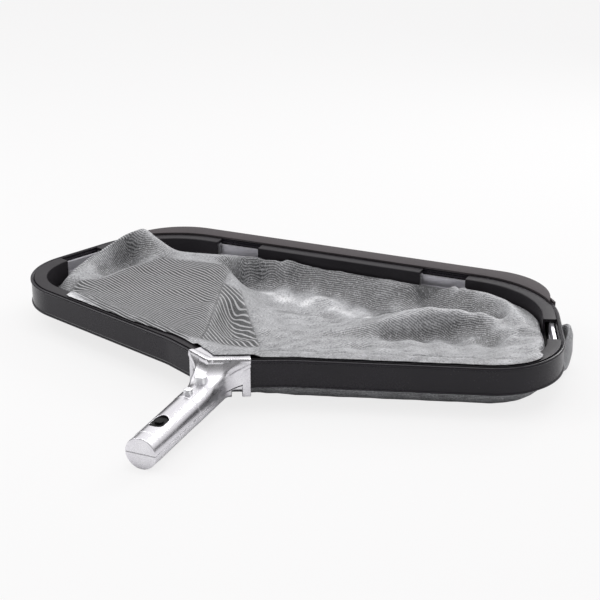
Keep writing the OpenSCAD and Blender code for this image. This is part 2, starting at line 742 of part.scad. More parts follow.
// The space of the lower casting: under the shank's middle plane, and under a line
// that rises from the shank's side to the outer side of each notch
right_notch = along(BOW, (wrap_right - notch_leg) / bow_len, 0).x;
left_notch = along(BOW, (wrap_left - notch_leg) / bow_len, 0).x;
module lower_space(down) {
    on_shank() translate([0, 2 * shank_end, -down]) rotate([90, 0, 0]) linear_extrude(3 * shank_end)
        polygon([[-left_notch, -rim_top], [right_notch, -rim_top], [right_notch, part_up],
            [shank_r + bite, part_up / 3], [shank_r + bite, 0],
            [-shank_r - bite, 0], [-shank_r - bite, part_up / 3], [-left_notch, part_up]]);
}

module handle_upper() {
    color("#c4c6c9") in_place() difference() {
        casting();
        lower_space(0);
    }
}

module handle_lower() {
    color("#c4c6c9") in_place() intersection() {
        casting();
        lower_space(seam);
    }
}

// ---------------------------------------------------------------- fasteners
module clamp_bolt() {
    color("#c9cbce") in_place() on_shank() translate([0, clamp_y, 0]) {
        translate([0, 0, -head_seat]) cylinder(r = clamp_head_r, h = clamp_head_h);
        translate([0, 0, -head_seat]) cylinder(r = clamp_r, h = head_seat + shank_r + clamp_nut_h);
    }
}

module clamp_nut() {
    color("#dfe0e2") in_place() on_shank() translate([0, clamp_y, shank_r]) block_nut(clamp_side, clamp_nut_h, clamp_r);
}

// A square nut whose top edges are broken
module block_nut(side, h, r) {
    edge = 0.8;
    difference() {
        hull() {
            translate([-side / 2, -side / 2, 0]) cube([side, side, h - edge]);
            translate([-side / 2 + edge, -side / 2 + edge, 0]) cube([side - 2 * edge, side - 2 * edge, h]);
        }
        translate([0, 0, -1]) cylinder(r = r + hole_fit, h = h + 2);
    }
}

module shank_screw() {
    color("#c9cbce") in_place() on_shank() translate([0, screw_y, 0]) {
        translate([0, 0, -head_seat]) cylinder(r = screw_head_r, h = screw_head_h);
        translate([0, 0, -head_seat]) cylinder(r = screw_r, h = head_seat + shank_r + screw_nut_h);
    }
}

module shank_nut() {
    color("#dfe0e2") in_place() on_shank() translate([0, screw_y, shank_r]) block_nut(screw_side, screw_nut_h, screw_r);
}

// ---------------------------------------------------------------- spring clip
// A strip bent into a U inside the bore. Each leg carries a lock button, whose crown
// follows the shank's round surface.
hinge_r = bow_in + strip_t / 2;

module clip_bend() {
    color("#3b3b3e") in_place() on_shank() translate([-strip_w / 2, bend_y, 0]) rotate([90, 0, 90])
        rotate([0, 0, -90]) rotate_extrude(angle = 180) translate([bow_in, 0]) square([strip_t, strip_w]);
}

// The leg's own frame: Y back along the leg to the hinge, Z through its thickness
module on_leg() {
    translate([0, bend_y, hinge_r]) rotate([-leg_spread, 0, 0]) children();
}

leg_len = bend_y - tip_y;
peg_r = 1.5;

module clip_leg() {
    difference() {
        on_leg() translate([-strip_w / 2, -leg_len, -strip_t / 2]) cube([strip_w, leg_len - body_gap, strip_t]);
        on_leg() translate([0, slot_y - bend_y, -strip_t]) cylinder(r = peg_r + hole_fit, h = 2 * strip_t);
    }
}

pad_w = slot_w - 0.8;
pad_len = slot_len - 2 * pad_play;
pad_top = shank_r - pad_depth;

module lock_button() {
    difference() {
        union() {
            translate([0, slot_y, hinge_r]) stadium(pad_w, pad_len, pad_top - hinge_r);
            intersection() {
                translate([0, slot_y, hinge_r]) cylinder(r = button_r, h = shank_r);
                along_shank(0, shank_r + button_out, 2 * slot_y);
            }
        }
        on_leg() translate([-slot_w, -2 * leg_len, strip_t / 2 - 2 * shank_r]) cube([2 * slot_w, 4 * leg_len, 2 * shank_r]);
    }
    on_leg() translate([0, slot_y - bend_y, -strip_t / 2]) cylinder(r = peg_r, h = 2 * strip_t);
}

module clip_leg_top() {
    color("#3b3b3e") in_place() on_shank() clip_leg();
}

module clip_leg_bottom() {
    color("#3b3b3e") in_place() on_shank() mirror([0, 0, 1]) clip_leg();
}

module lock_button_top() {
    color("#1f1f21") in_place() on_shank() lock_button();
}

module lock_button_bottom() {
    color("#1f1f21") in_place() on_shank() mirror([0, 0, 1]) lock_button();
}

rim_frame();
hoop_bar();
bar_screws();
retainer_front_right();
retainer_front_left();
retainer_rear_right();
retainer_rear_left();
retainer_rear();
scoop_lip();
net_hem();
net_bag();
handle_upper();
handle_lower();
clamp_bolt();
clamp_nut();
shank_screw();
shank_nut();
clip_bend();
clip_leg_top();
clip_leg_bottom();
lock_button_top();
lock_button_bottom();
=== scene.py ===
# %% [markdown]
# # A leaf skimmer net head
# The head of a leaf skimmer is a black moulded hoop with a scoop lip, a mesh bag inside it and a cast
# handle that slides into a pole. This lesson dresses its CAD frame for a picture. The frame comes packed,
# with one object for each node. Plain pieces keep their CAD shape and get a finish. The ones whose
# edges, castings or cloth matter to the eye are worked out again here, with numpy, in the same place.

# %% Load the frame
import functools
import math
import bpy
import bmesh
import numpy as np
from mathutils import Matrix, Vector


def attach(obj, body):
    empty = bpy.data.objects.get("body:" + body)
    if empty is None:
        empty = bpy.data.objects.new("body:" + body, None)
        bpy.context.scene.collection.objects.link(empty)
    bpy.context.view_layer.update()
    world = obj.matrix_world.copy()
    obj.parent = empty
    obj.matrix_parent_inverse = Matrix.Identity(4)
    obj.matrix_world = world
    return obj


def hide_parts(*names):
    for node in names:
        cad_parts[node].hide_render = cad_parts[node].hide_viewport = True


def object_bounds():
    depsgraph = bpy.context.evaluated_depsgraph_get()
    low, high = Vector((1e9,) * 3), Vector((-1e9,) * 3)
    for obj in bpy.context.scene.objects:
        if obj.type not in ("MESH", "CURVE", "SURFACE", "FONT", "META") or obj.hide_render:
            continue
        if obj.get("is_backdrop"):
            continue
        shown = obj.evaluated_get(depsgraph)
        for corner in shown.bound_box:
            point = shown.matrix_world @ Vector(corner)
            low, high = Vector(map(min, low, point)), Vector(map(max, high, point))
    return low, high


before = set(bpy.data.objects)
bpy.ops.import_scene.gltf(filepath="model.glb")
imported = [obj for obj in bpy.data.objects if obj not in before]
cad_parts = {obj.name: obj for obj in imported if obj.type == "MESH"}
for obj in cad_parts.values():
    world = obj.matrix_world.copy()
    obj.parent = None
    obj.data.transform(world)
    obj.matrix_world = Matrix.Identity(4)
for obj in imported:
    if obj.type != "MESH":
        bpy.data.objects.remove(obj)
cad_low, cad_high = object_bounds()
scene = bpy.context.scene
print("nodes", len(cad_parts), "box", [round(v, 4) for v in cad_low], [round(v, 4) for v in cad_high])

# %% [markdown]
# ## Sizes
# All shapes are worked out in millimetres in the maker's own drawing: the apex of the hoop, where the
# handle holds it, is at X = Y = 0. The frame is centred in Y, so one shift in Y and a factor of a
# thousandth take a drawing point to its place. Heights are over the floor, distances "out" are from the
# hoop's outer face, and the windows are the gaps between the retainers.

# %% The maker's sizes
BOW = math.radians(25.8)
RIM_BASE, RIM_TOP = 19.0, 45.0
RIM_WALL, RIM_FLOOR, BEAD, BEAD_OUT = 2.5, 2.2, 1.6, 1.0
BAR_SET, BAR_IN, HEM_IN, HEM_OUT = 5.5, 8.5, 9.3, 4.7
BAR_TOP = RIM_BASE + RIM_FLOOR + 19
LEDGE, LEDGE_T, SKIRT_T, SKIRT_GAP, GROOVE = 15.5, 2.8, 2.2, 3.0, 0.5
SHANK_R, AXIS_Z, SHANK_END, RISE = 14.25, 14.0, 123.0, math.radians(2.4)
ARM_RIGHT, ARM_LEFT = 34.0, 27.0
SIDE_WINDOW, REAR_TAIL, REAR_WINDOW = 47.0, 13.0, 48.0
MIDDLE_Y = -SHANK_END - (AXIS_Z - 0.5) * math.sin(RISE) - 1000 * cad_low.y


def place(points):
    """Drawing millimetres to frame metres: less MIDDLE_Y in Y, and times a thousandth."""
    return (np.asarray(points, dtype=float) - [0, MIDDLE_Y, 0]) * 0.001


print("middle of the drawing in Y", round(MIDDLE_Y, 3))

# %% [markdown]
# ## The path of the hoop
# The hoop is one outline of straights and arcs, and every black piece follows it. It could be drawn as a
# Bezier curve, but a curve object doesn't say where its offset lines run. Here the outline is a function:
# the heading is a straight line of the distance on each step, and adding up the heading's cosine and sine
# gives the place in closed form. Any distance out from it is then one step along the outward normal.

# %% Points along the hoop
# Each step is (length, 0, 0) or (0, radius, turn in degrees), from the apex round to the rear straight
STEPS = [(62, 0, 0), (0, 60, -7.5), (167.5, 0, 0), (0, 68.5, 91.0), (61, 0, 0), (0, 100, 70.7)]
CORNER_R = STEPS[-1][1]


def step_table():
    """Each step's start distance, start point, heading and curvature, and the half length of the hoop."""
    rows, s, x, y, h = [], 0.0, 0.0, 0.0, BOW
    for length, radius, turn in STEPS:
        t = math.radians(turn)
        length = length or radius * abs(t)
        k = t / length
        rows.append((s, x, y, h, k))
        x += length * math.cos(h) if k == 0 else (math.sin(h + t) - math.sin(h)) / k
        y += length * math.sin(h) if k == 0 else (math.cos(h) - math.cos(h + t)) / k
        s, h = s + length, h + t
    rows.append((s, x, y, h, 0.0))
    return np.array(rows), s + x


TABLE, HALF = step_table()
REAR_Y = TABLE[6, 2]
SIDE_AT, REAR_AT, BACK_AT = TABLE[4, 0], TABLE[5, 0], TABLE[6, 0]


def hoop(s, out):
    """The plan point at distance s round the outer face, moved out by out. s runs from 0 at the apex up
    the right side to 2 HALF back at the apex. x = x0 + (sin(h0 + k d) - sin h0) / k, and y with the cosine;
    on a straight x = x0 + d cos h0. The left half is the mirror image of the right."""
    s, out = np.broadcast_arrays(np.asarray(s, float), np.asarray(out, float))
    left = s > HALF
    d = np.where(left, 2 * HALF - s, s)
    row = TABLE[np.clip(np.searchsorted(TABLE[:, 0], d, side="right") - 1, 0, 6)]
    d, x0, y0, h0, k = d - row[..., 0], row[..., 1], row[..., 2], row[..., 3], row[..., 4]
    h, straight = h0 + k * d, k == 0
    kk = np.where(straight, 1, k)
    x = x0 + np.where(straight, d * np.cos(h0), (np.sin(h) - np.sin(h0)) / kk) + out * np.sin(h)
    y = y0 + np.where(straight, d * np.sin(h0), (np.cos(h0) - np.cos(h)) / kk) - out * np.cos(h)
    return np.stack([np.where(left, -x, x), y], -1)


print("half way round", round(HALF, 2), "mm, rear at", round(REAR_Y, 2))

# %% [markdown]
# ## A mesh from arrays, and a section carried along the hoop
# Blender could sweep a bevel profile along a curve, but the profile would turn with the curve's own
# frame and the ends would need caps by hand. A grid of points, the section's points by the path's
# stations, keeps the outline exact. The same grid gives the UVs: metres along and metres round.

# %% Helpers for lines and objects
def smooth_step(t):
    """0 below 0, 1 above 1, and 3 t^2 - 2 t^3 between."""
    t = np.clip(t, 0, 1)
    return t * t * (3 - 2 * t)


def run_length(points):
    """Distances along a line of points from its first one."""
    return np.concatenate([[0], np.cumsum(np.linalg.norm(np.diff(points, axis=0), axis=1))])


def even_steps(points, count=None, pitch=None):
    """A line through points, cut to a count of even steps or to steps of about a pitch."""
    p = np.array(points, float)
    d = run_length(p)
    t = np.linspace(0, d[-1], count or max(2, int(d[-1] / pitch) + 1))
    return np.stack([np.interp(t, d, column) for column in p.T], -1)


def add_object(name, data):
    """An object with its data, linked to the scene."""
    thing = bpy.data.objects.new(name, data)
    bpy.context.collection.objects.link(thing)
    return thing


def add_piece(name, points, faces, finish, node, uv=None, sharp=35, closed=True, normals=None):
    """A new object at the origin from drawing points and faces, with its finish, in place of a node. Closed
    solids get their faces turned outwards, and edges bent by more than sharp degrees stay crisp."""
    mesh = bpy.data.meshes.new(name)
    mesh.from_pydata(place(points).tolist(), [], [list(map(int, f)) for f in faces])
    if uv is not None:
        layer = mesh.uv_layers.new(name="cloth")
        corners = np.empty(len(mesh.loops), dtype=np.int32)
        mesh.loops.foreach_get("vertex_index", corners)
        layer.data.foreach_set("uv", np.asarray(uv, np.float32)[corners].ravel())
    if closed:
        bm = bmesh.new()
        bm.from_mesh(mesh)
        bmesh.ops.recalc_face_normals(bm, faces=bm.faces)
        bm.to_mesh(mesh)
        bm.free()
    mesh.shade_smooth()
    if normals is None:
        mesh.set_sharp_from_angle(angle=math.radians(sharp))
    else:
        mesh.normals_split_custom_set_from_vertices(normals.tolist())
    mesh.materials.append(finish)
    piece = add_object(name, mesh)
    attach(piece, "head")
    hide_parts(node)
    print(name, len(points), "points,", len(faces), "faces")
    return piece


# %% Grids, rounded outlines and carried sections
def grid_faces(rows, columns, wrap_rows=False, wrap_columns=False):
    """Quads between neighbours on a grid of rows by columns, numbered row by row."""
    r = np.arange(rows if wrap_rows else rows - 1)[:, None]
    c = np.arange(columns if wrap_columns else columns - 1)[None, :]
    r2, c2 = (r + 1) % rows, (c + 1) % columns
    quads = np.stack([r * columns + c, r2 * columns + c, r2 * columns + c2, r * columns + c2], -1)
    return quads.reshape(-1, 4)


def rounded(corners, steps=4):
    """A closed outline whose corners are (x, y, radius). Each becomes a curve of steps + 1 points that
    touches both of its sides where an arc would, (1 - t)^2 a + 2 t (1 - t) p + t^2 b from a to b round the
    corner p, or stays a point if its radius is 0."""
    c = np.array(corners, float)
    p, r = c[:, :2], c[:, 2]
    before, after = np.roll(p, 1, 0) - p, np.roll(p, -1, 0) - p
    lb, la = np.linalg.norm(before, axis=1), np.linalg.norm(after, axis=1)
    before, after = before / lb[:, None], after / la[:, None]
    half = np.arccos(np.clip((before * after).sum(1), -1, 1)) / 2
    reach = np.minimum(r / np.tan(half), 0.49 * np.minimum(lb, la))
    t = np.linspace(0, 1, steps + 1)[None, :, None]
    start, end = p + before * reach[:, None], p + after * reach[:, None]
    blend = (1 - t) ** 2 * start[:, None] + 2 * t * (1 - t) * p[:, None] + t ** 2 * end[:, None]
    keep = [blend[i] if r[i] > 0 else p[i:i + 1] for i in range(len(p))]
    return np.concatenate(keep)


def carry(section, along):
    """Points, faces and UVs of a closed section of (out, height) carried along the hoop, with both ends
    shut. The UVs are the distances along the hoop and round the section, in metres."""
    section = np.asarray(section, float)
    n, m = len(along), len(section)
    plan = hoop(np.asarray(along)[:, None], section[None, :, 0])
    points = np.concatenate([plan, np.broadcast_to(section[None, :, 1:], (n, m, 1))], -1).reshape(-1, 3)
    faces = [list(f) for f in grid_faces(n, m, wrap_columns=True)]
    faces += [list(range(m)), list(range((n - 1) * m, n * m))[::-1]]
    uv = np.stack(np.broadcast_arrays(np.asarray(along)[:, None], run_length(section)[None, :]), -1)
    return points, faces, uv.reshape(-1, 2) / 1000


# %% Where to put sections along the hoop
def stations(start, end, pitch=4.0):
    """Distances from start to end at most pitch apart, the ends of the hoop's steps among them."""
    marks = np.concatenate([TABLE[:, 0], 2 * HALF - TABLE[:, 0], [HALF]])
    marks = np.unique(np.concatenate([[start], marks[(marks > start + 0.5) & (marks < end - 0.5)], [end]]))
    runs = [np.linspace(a, b, max(2, int(np.ceil((b - a) / pitch)) + 1))[:-1]
            for a, b in zip(marks[:-1], marks[1:])]
    return np.concatenate(runs + [[end]])


# %% [markdown]
# ## Finishes
# Colours are written as a screen shows them and turned to linear light for the shader. Each finish is
# one Principled shader. Noise on Object coordinates, in metres, gives it its life: moulded plastic has a
# fine spark-eroded grain, and tumbled castings have soft waves with fine scratches in them.

# %% Helpers for finishes
def linear(hex_colour):
    """sRGB hex to linear light: ((c + 0.055) / 1.055) ^ 2.4 above 0.04045, else c / 12.92."""
    c = np.array([int(hex_colour[i:i + 2], 16) / 255 for i in (1, 3, 5)])
    c = np.where(c <= 0.04045, c / 12.92, ((c + 0.055) / 1.055) ** 2.4)
    return (*c.tolist(), 1.0)


def set_inputs(node, inputs):
    """Sets a node's inputs, a list from the first on or a dict by name or number. Another node's output
    is linked, and anything else is set directly."""
    for key, value in (inputs.items() if isinstance(inputs, dict) else enumerate(inputs)):
        if isinstance(value, bpy.types.NodeSocket):
            node.id_data.links.new(value, node.inputs[key])
        else:
            node.inputs[key].default_value = value


def add_node(tree, kind, inputs=(), output=0, **settings):
    """Adds a shader node with its inputs and settings, and gives the output that is asked for."""
    node = tree.nodes.new("ShaderNode" + kind)
    for key, value in settings.items():
        setattr(node, key, value)
    set_inputs(node, inputs)
    return node.outputs[output] if node.outputs else None


def new_finish(name):
    """A material, a function that adds nodes to it, and its Principled shader."""
    material = bpy.data.materials.new(name)
    material.use_nodes = True
    tree = material.node_tree
    return material, functools.partial(add_node, tree), tree.nodes["Principled BSDF"]


# A Mix node has sockets A and B for each type of data. The colour ones are numbers 6 and 7, and its
# colour output is number 2
MIX_A, MIX_B, MIXED = 6, 7, 2

# %% [markdown]
# ### Black plastics
# The hoop is moulded in black ABS with a satin skin, and its retainers come out of a duller mould. The lip
# is a softer, matt, warm grey plastic. A real moulding shows slight cloudiness and dust, so colour and
# roughness both drift over 45 mm, 1.6 mm specks sit on that, and a fine spark-eroded grain of about half
# a millimetre breaks the highlights.

# %% Satin ABS, retainer, lip and button plastics
def moulded(name, dark, light, smooth, dull, grain_mm, grain_deep_mm, gloss=0.3):
    """A moulded plastic between two colours and two roughnesses, with a grain."""
    material, put, shader = new_finish(name)
    spot = put("TexCoord", output="Object")
    cloud = put("TexNoise", {"Vector": spot, "Scale": 1000 / 45, "Detail": 3})
    speck = put("TexNoise", {"Vector": spot, "Scale": 1000 / 1.6})
    grain = put("TexNoise", {"Vector": spot, "Scale": 1000 / grain_mm})
    share = put("MapRange", [cloud, 0.3, 0.7, 0, 1])
    rough = put("MapRange", [cloud, 0.3, 0.7, smooth, dull])
    rough = put("Math", [rough, put("MapRange", [speck, 0.3, 0.7, -0.03, 0.03])], operation="ADD")
    set_inputs(shader, {
        "Base Color": put("Mix", {0: share, MIX_A: linear(dark), MIX_B: linear(light)}, MIXED,
                          data_type="RGBA"),
        "Roughness": rough,
        "Specular IOR Level": gloss,
        "Normal": put("Bump", {"Height": grain, "Distance": grain_deep_mm / 1000, "Strength": 1.0})})
    return material


black_satin = moulded("black_satin_plastic", "#1c191f", "#242127", 0.22, 0.3, 0.5, 0.003)
ledge_black = moulded("retainer_plastic", "#1e1b1f", "#262327", 0.38, 0.48, 0.6, 0.008, 0.25)
lip_grey = moulded("soft_lip_plastic", "#443f41", "#4d484a", 0.6, 0.72, 0.45, 0.012, 0.25)
button_black = moulded("button_plastic", "#0c0b0d", "#121113", 0.5, 0.6, 0.5, 0.004, 0.2)

# %% [markdown]
# ### Metals
# The handle is cast in aluminium and tumbled bright, the bar is drawn, the bolts are zinc plated and the
# clip is spring steel. The reflection does most of the work: the colour is a plain light grey, and a
# roughness that drifts, with shallow waves in the surface, gives the cloudy streaks of a polished casting.
# Waves and scratches are drawn out along the way that the metal was worked.

# %% Cast, drawn and plated metals
def metal(name, dark, light, bright, dull, wave_mm, wave_deep_mm, stretch=(1, 1, 1)):
    """A metal between two colours and two roughnesses, with waves and half-millimetre scratches."""
    material, put, shader = new_finish(name)
    spot = put("Mapping", {"Vector": put("TexCoord", output="Object"), "Scale": stretch})
    cloud, patch, scratch = (put("TexNoise", {"Vector": spot, "Scale": 1000 / size, "Detail": detail})
                             for size, detail in ((wave_mm, 3), (wave_mm / 3, 3), (0.5, 2)))
    share = put("MapRange", [cloud, 0.3, 0.7, 0, 1])
    waves = put("Bump", {"Height": cloud, "Distance": wave_deep_mm / 1000, "Strength": 1.0})
    set_inputs(shader, {
        "Metallic": 1.0,
        "Base Color": put("Mix", {0: share, MIX_A: linear(dark), MIX_B: linear(light)}, MIXED,
                          data_type="RGBA"),
        "Roughness": put("MapRange", [patch, 0.3, 0.7, bright, dull]),
        "Normal": put("Bump", {"Height": scratch, "Distance": 1e-6, "Strength": 1.0, "Normal": waves})})
    return material


cast_bright = metal("tumbled_cast_aluminium", "#dddbe0", "#f0eff2", 0.22, 0.32, 14, 0.015, (1, 0.15, 1))
nut_bright = metal("bright_nut", "#eeeef0", "#f8f8fa", 0.34, 0.42, 6, 0.003)
drawn_bar = metal("drawn_bar_aluminium", "#e2e0e6", "#eeecf2", 0.4, 0.5, 6, 0.01, (1, 1, 5))
plated_steel = metal("zinc_plated_steel", "#a9abb0", "#bfc1c5", 0.28, 0.4, 3, 0.01)
spring_dark = metal("black_spring_steel", "#2a2a2c", "#363638", 0.35, 0.5, 5, 0.01)

# %% Finishes on the CAD pieces that keep their shape
KEPT = {"hoop_bar": drawn_bar, "bar_screws": plated_steel, "clamp_bolt": plated_steel,
        "shank_screw": plated_steel, "clip_bend": spring_dark, "clip_leg_top": spring_dark,
        "clip_leg_bottom": spring_dark, "lock_button_top": button_black, "lock_button_bottom": button_black}
for name, finish in KEPT.items():
    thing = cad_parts[name]
    if not thing.material_slots:
        thing.data.materials.append(finish)
    for holder in thing.material_slots:
        holder.material = finish
print("finishes given to", len(KEPT), "CAD nodes")

# %% [markdown]
# ## The black hoop
# The hoop is a moulded channel: an outer wall with a round bead along each edge, a flange under the flat
# bar, a rib behind it, and a shoulder under the retainers. The beads catch the light as thin lines, so
# they are real arcs here and not a bevel on a box.

# %% Hoop frame
def arc(cx, cz, radius, start, end, steps=8):
    """Points on a circle about (cx, cz), from one angle to another in degrees."""
    a = np.radians(np.linspace(start, end, steps + 1))
    return np.stack([cx + radius * np.cos(a), cz + radius * np.sin(a)], -1)


meet = math.degrees(math.acos((BEAD - BEAD_OUT) / BEAD))
flange = RIM_BASE + RIM_FLOOR
rib_low = flange + 19 / 2 - 2.5
outer = np.concatenate([arc(BEAD_OUT - BEAD, RIM_BASE + BEAD, BEAD, -90, meet),
                        arc(BEAD_OUT - BEAD, RIM_TOP - BEAD, BEAD, -meet, 90)])
inner = rounded([(-RIM_WALL, RIM_TOP, 0.4), (-RIM_WALL, 42.2, 0), (-RIM_WALL - 1.8, 42.2, 0.2),
                 (-RIM_WALL - 1.8, 40.2, 0.3), (-RIM_WALL, 40.2, 0.4), (-RIM_WALL, rib_low + 5, 0.4),
                 (-BAR_SET, rib_low + 5, 0.3), (-BAR_SET, rib_low, 0.3), (-RIM_WALL, rib_low, 0.4),
                 (-RIM_WALL, flange, 0.4), (-BAR_IN, flange, 0.5), (-BAR_IN, RIM_BASE, 0.5)], 2)
rim_points, rim_faces, rim_uv = carry(np.concatenate([outer, inner]), stations(9, 2 * HALF - 9))
add_piece("hoop_frame_satin", rim_points, rim_faces, black_satin, "rim_frame", rim_uv, 38)

# %% [markdown]
# ### Net retainers
# Five angle strips hold the net down: a ledge flush with the hoop's top and a skirt down its inner edge.
# Windows are left between them. Each has its edges broken by a small radius, as a moulding must.

# %% Retainers
ledge_z = RIM_TOP - LEDGE_T
angle_strip = rounded([(-RIM_WALL - GROOVE, RIM_TOP, 0.5), (-RIM_WALL - GROOVE, ledge_z, 0.2),
                       (-LEDGE + SKIRT_T, ledge_z, 0.5), (-LEDGE + SKIRT_T, RIM_BASE + SKIRT_GAP, 0.6),
                       (-LEDGE, RIM_BASE + SKIRT_GAP, 0.6), (-LEDGE, RIM_TOP, 1.3)], 5)
REAR_END = BACK_AT + REAR_TAIL + REAR_WINDOW
RUNS = {"front_right": (ARM_RIGHT + 0.2, SIDE_AT), "front_left": (ARM_LEFT + 0.2, SIDE_AT),
        "rear_right": (SIDE_AT + SIDE_WINDOW, BACK_AT + REAR_TAIL),
        "rear_left": (SIDE_AT + SIDE_WINDOW, BACK_AT + REAR_TAIL), "rear": (REAR_END, 2 * HALF - REAR_END)}
for part, (start, end) in RUNS.items():
    if part.endswith("left"):
        start, end = 2 * HALF - end, 2 * HALF - start
    points, faces, uv = carry(angle_strip, stations(start, end))
    strip = add_piece("retainer_strip_" + part, points, faces, ledge_black, "retainer_" + part,
                      uv, 38)
    soft = strip.modifiers.new("soft edges", "BEVEL")
    soft.width, soft.segments, soft.limit_method, soft.angle_limit = 0.0005, 2, "ANGLE", math.radians(60)

# %% [markdown]
# ### Scoop lip
# The lip is a thin blade behind the rear of the hoop, which slides under leaves, with a plate that clips
# over the beads. The blade is a strip between two curves: the inner one follows the hoop, the outer one
# runs straight and turns in by an arc at each end. Across, it has a flat top and a round nose.

# %% Where the lip's edge meets its plate
PLATE_IN, PLATE_OUT, LIP_R, LIP_T, COVER = BEAD_OUT + 0.2, BEAD_OUT + 2.2, 65.0, 2.2, 0.78
LIP_EDGE = 1000 * cad_high.y + MIDDLE_Y
lip_start = REAR_AT + (1 - COVER) * (BACK_AT - REAR_AT)
lip_centre = np.array([TABLE[4, 1] - CORNER_R - 0.3, LIP_EDGE - LIP_R])
rear_centre = hoop(REAR_AT, -CORNER_R)
apart = lip_centre - rear_centre
reach = CORNER_R + PLATE_IN + 1
along = (apart @ apart + reach ** 2 - LIP_R ** 2) / (2 * np.linalg.norm(apart))
aside = math.sqrt(reach ** 2 - along ** 2)
unit = apart / np.linalg.norm(apart)
lip_meet = rear_centre + along * unit + aside * np.array([unit[1], -unit[0]])
lip_end = math.atan2(*(lip_meet - lip_centre)[::-1])


# %% Lip blade
def lip_rows(n):
    """Inner and outer edge points of the right half of the blade, from its tip to the middle of the rear.
    The outer edge is an arc of radius LIP_R about lip_centre from the plate's line to the straight, and
    the inner edge the same share along the hoop."""
    arc_length = LIP_R * (math.pi / 2 - lip_end)
    whole_length = arc_length + lip_centre[0]
    t = np.linspace(0, 1, n) * whole_length
    a = lip_end + np.minimum(t, arc_length) / LIP_R
    rim_edge = lip_centre + LIP_R * np.stack([np.cos(a), np.sin(a)], -1)
    rim_edge[:, 0] -= np.maximum(t - arc_length, 0)
    corner_run = BACK_AT - lip_start
    s = np.where(t < arc_length, lip_start + corner_run * t / arc_length,
                 BACK_AT + (HALF - BACK_AT) * (t - arc_length) / (whole_length - arc_length))
    return hoop(s, -RIM_WALL + 0.2), rim_edge


inside, outside = (np.concatenate([half, (half * [-1, 1])[-2::-1]]) for half in lip_rows(110))
width = np.linalg.norm(outside - inside, axis=1)
inward = (inside - outside) / np.maximum(width, 1e-6)[:, None]
# Across the blade, how far in from the outer edge and how high over the hoop's top: the foot and the
# top at the inner edge, then the round nose
nose = arc(1.1, 1.1, 1.1, 90, 270)
depth = np.stack([width, width, width - 1] + [np.minimum(d, width) for d in nose[:, 0]], 1)
height = np.concatenate([[0.05, LIP_T - 0.3, LIP_T], nose[:, 1]])
plan = outside[:, None] + inward[:, None] * depth[..., None]
level = np.broadcast_to((RIM_TOP + height)[None, :, None], (*depth.shape, 1))
lip_points = np.concatenate([plan, level], -1).reshape(-1, 3)
n, m = depth.shape
lip_faces = grid_faces(n, m, wrap_columns=True).tolist()
lip_faces += [list(range(m)), list(range((n - 1) * m, n * m))]

# %% Lip's clip-on plate
plate = rounded([(PLATE_IN, RIM_BASE + 2 * BEAD, 0.5), (PLATE_OUT, RIM_BASE + 2 * BEAD, 0.9),
                 (PLATE_OUT, RIM_TOP + LIP_T / 2, 0.3), (PLATE_IN, RIM_TOP + LIP_T / 2, 0)], 4)
plate_points, plate_faces, _ = carry(plate, stations(lip_start, 2 * HALF - lip_start))
add_piece("scoop_lip_soft", np.concatenate([lip_points, plate_points]),
          lip_faces + [[i + len(lip_points) for i in f] for f in plate_faces], lip_grey, "scoop_lip",
          sharp=40)

# %% [markdown]
# ## The cast handle
# The handle is two castings, split along the middle of the shank: a round shank that flares into a bracket
# round the apex of the hoop. Boolean tools would leave hard joints where a casting has wide, soft ones, so
# the shape is a field instead: a function that gives about the distance to the metal from any point, below
# 0 inside. Two parts are joined with a round fillet, or cut with a round edge, by short formulas, and the
# surface where the field is 0 is then skinned with quads.

# %% Joining and cutting fields
def join_round(a, b, radius):
    """Union with a fillet: max(r, min(a, b)) less the length of (r - a, r - b) where both are positive."""
    toe = np.hypot(np.maximum(radius - a, 0), np.maximum(radius - b, 0))
    return np.maximum(radius, np.minimum(a, b)) - toe


def keep_round(a, b, radius):
    """Intersection with a round edge: min(-r, max(a, b)) plus the length of (r + a, r + b) where they are
    positive."""
    edge = np.hypot(np.maximum(radius + a, 0), np.maximum(radius + b, 0))
    return np.minimum(-radius, np.maximum(a, b)) + edge


def slab(v, low, high):
    """Distance to the layer low < v < high."""
    return np.maximum(low - v, v - high)


# %% Sizes of the casting
# The bracket's wall and heights, the hook behind the bar, the bore, the steps in the shank, the bolts and
# the slot from the shank's end, and the notches in the arms
WRAP_IN, WRAP_OUT, WRAP_Z, FOOT_Z = 1.2, 3.8, RIM_TOP + 2.7, RIM_BASE - 6.8
HOOK_IN, HOOK_T = HEM_IN + 1, 2.6
BORE_R, BORE_FROM, BORE_TO = 11.5, 3.0, 70.9
LEAD_IN, POLE_STOP, STEP = 12.4, 75.0, 0.25
CLAMP_AT, SCREW_AT, SLOT_AT = SHANK_END - 18, SHANK_END - 41, 32.0
NOTCH, LEG_RIGHT, LEG_LEFT, NOTCH_X_RIGHT, NOTCH_X_LEFT = 9.0, 7.6, 6.0, 25.7, 19.4


# %% The shank's frame and the arms' frame
def shank_frame(x, y, z):
    """A drawing point in the shank's own frame: along its axis from its end, and up from the axis."""
    dy, dz = y + SHANK_END, z - AXIS_Z
    return x, dy * math.cos(RISE) + dz * math.sin(RISE), dz * math.cos(RISE) - dy * math.sin(RISE)


def from_shank(points):
    """Points of the shank's own frame in the drawing."""
    x, y, z = np.asarray(points, float).T
    return np.stack([x, y * math.cos(RISE) - z * math.sin(RISE) - SHANK_END,
                     AXIS_Z + y * math.sin(RISE) + z * math.cos(RISE)], -1)


def stadium(x, y, wide, long):
    """Distance to a slot with round ends: to a segment, less half the width."""
    return np.hypot(x, np.maximum(np.abs(y) - (long - wide) / 2, 0)) - wide / 2


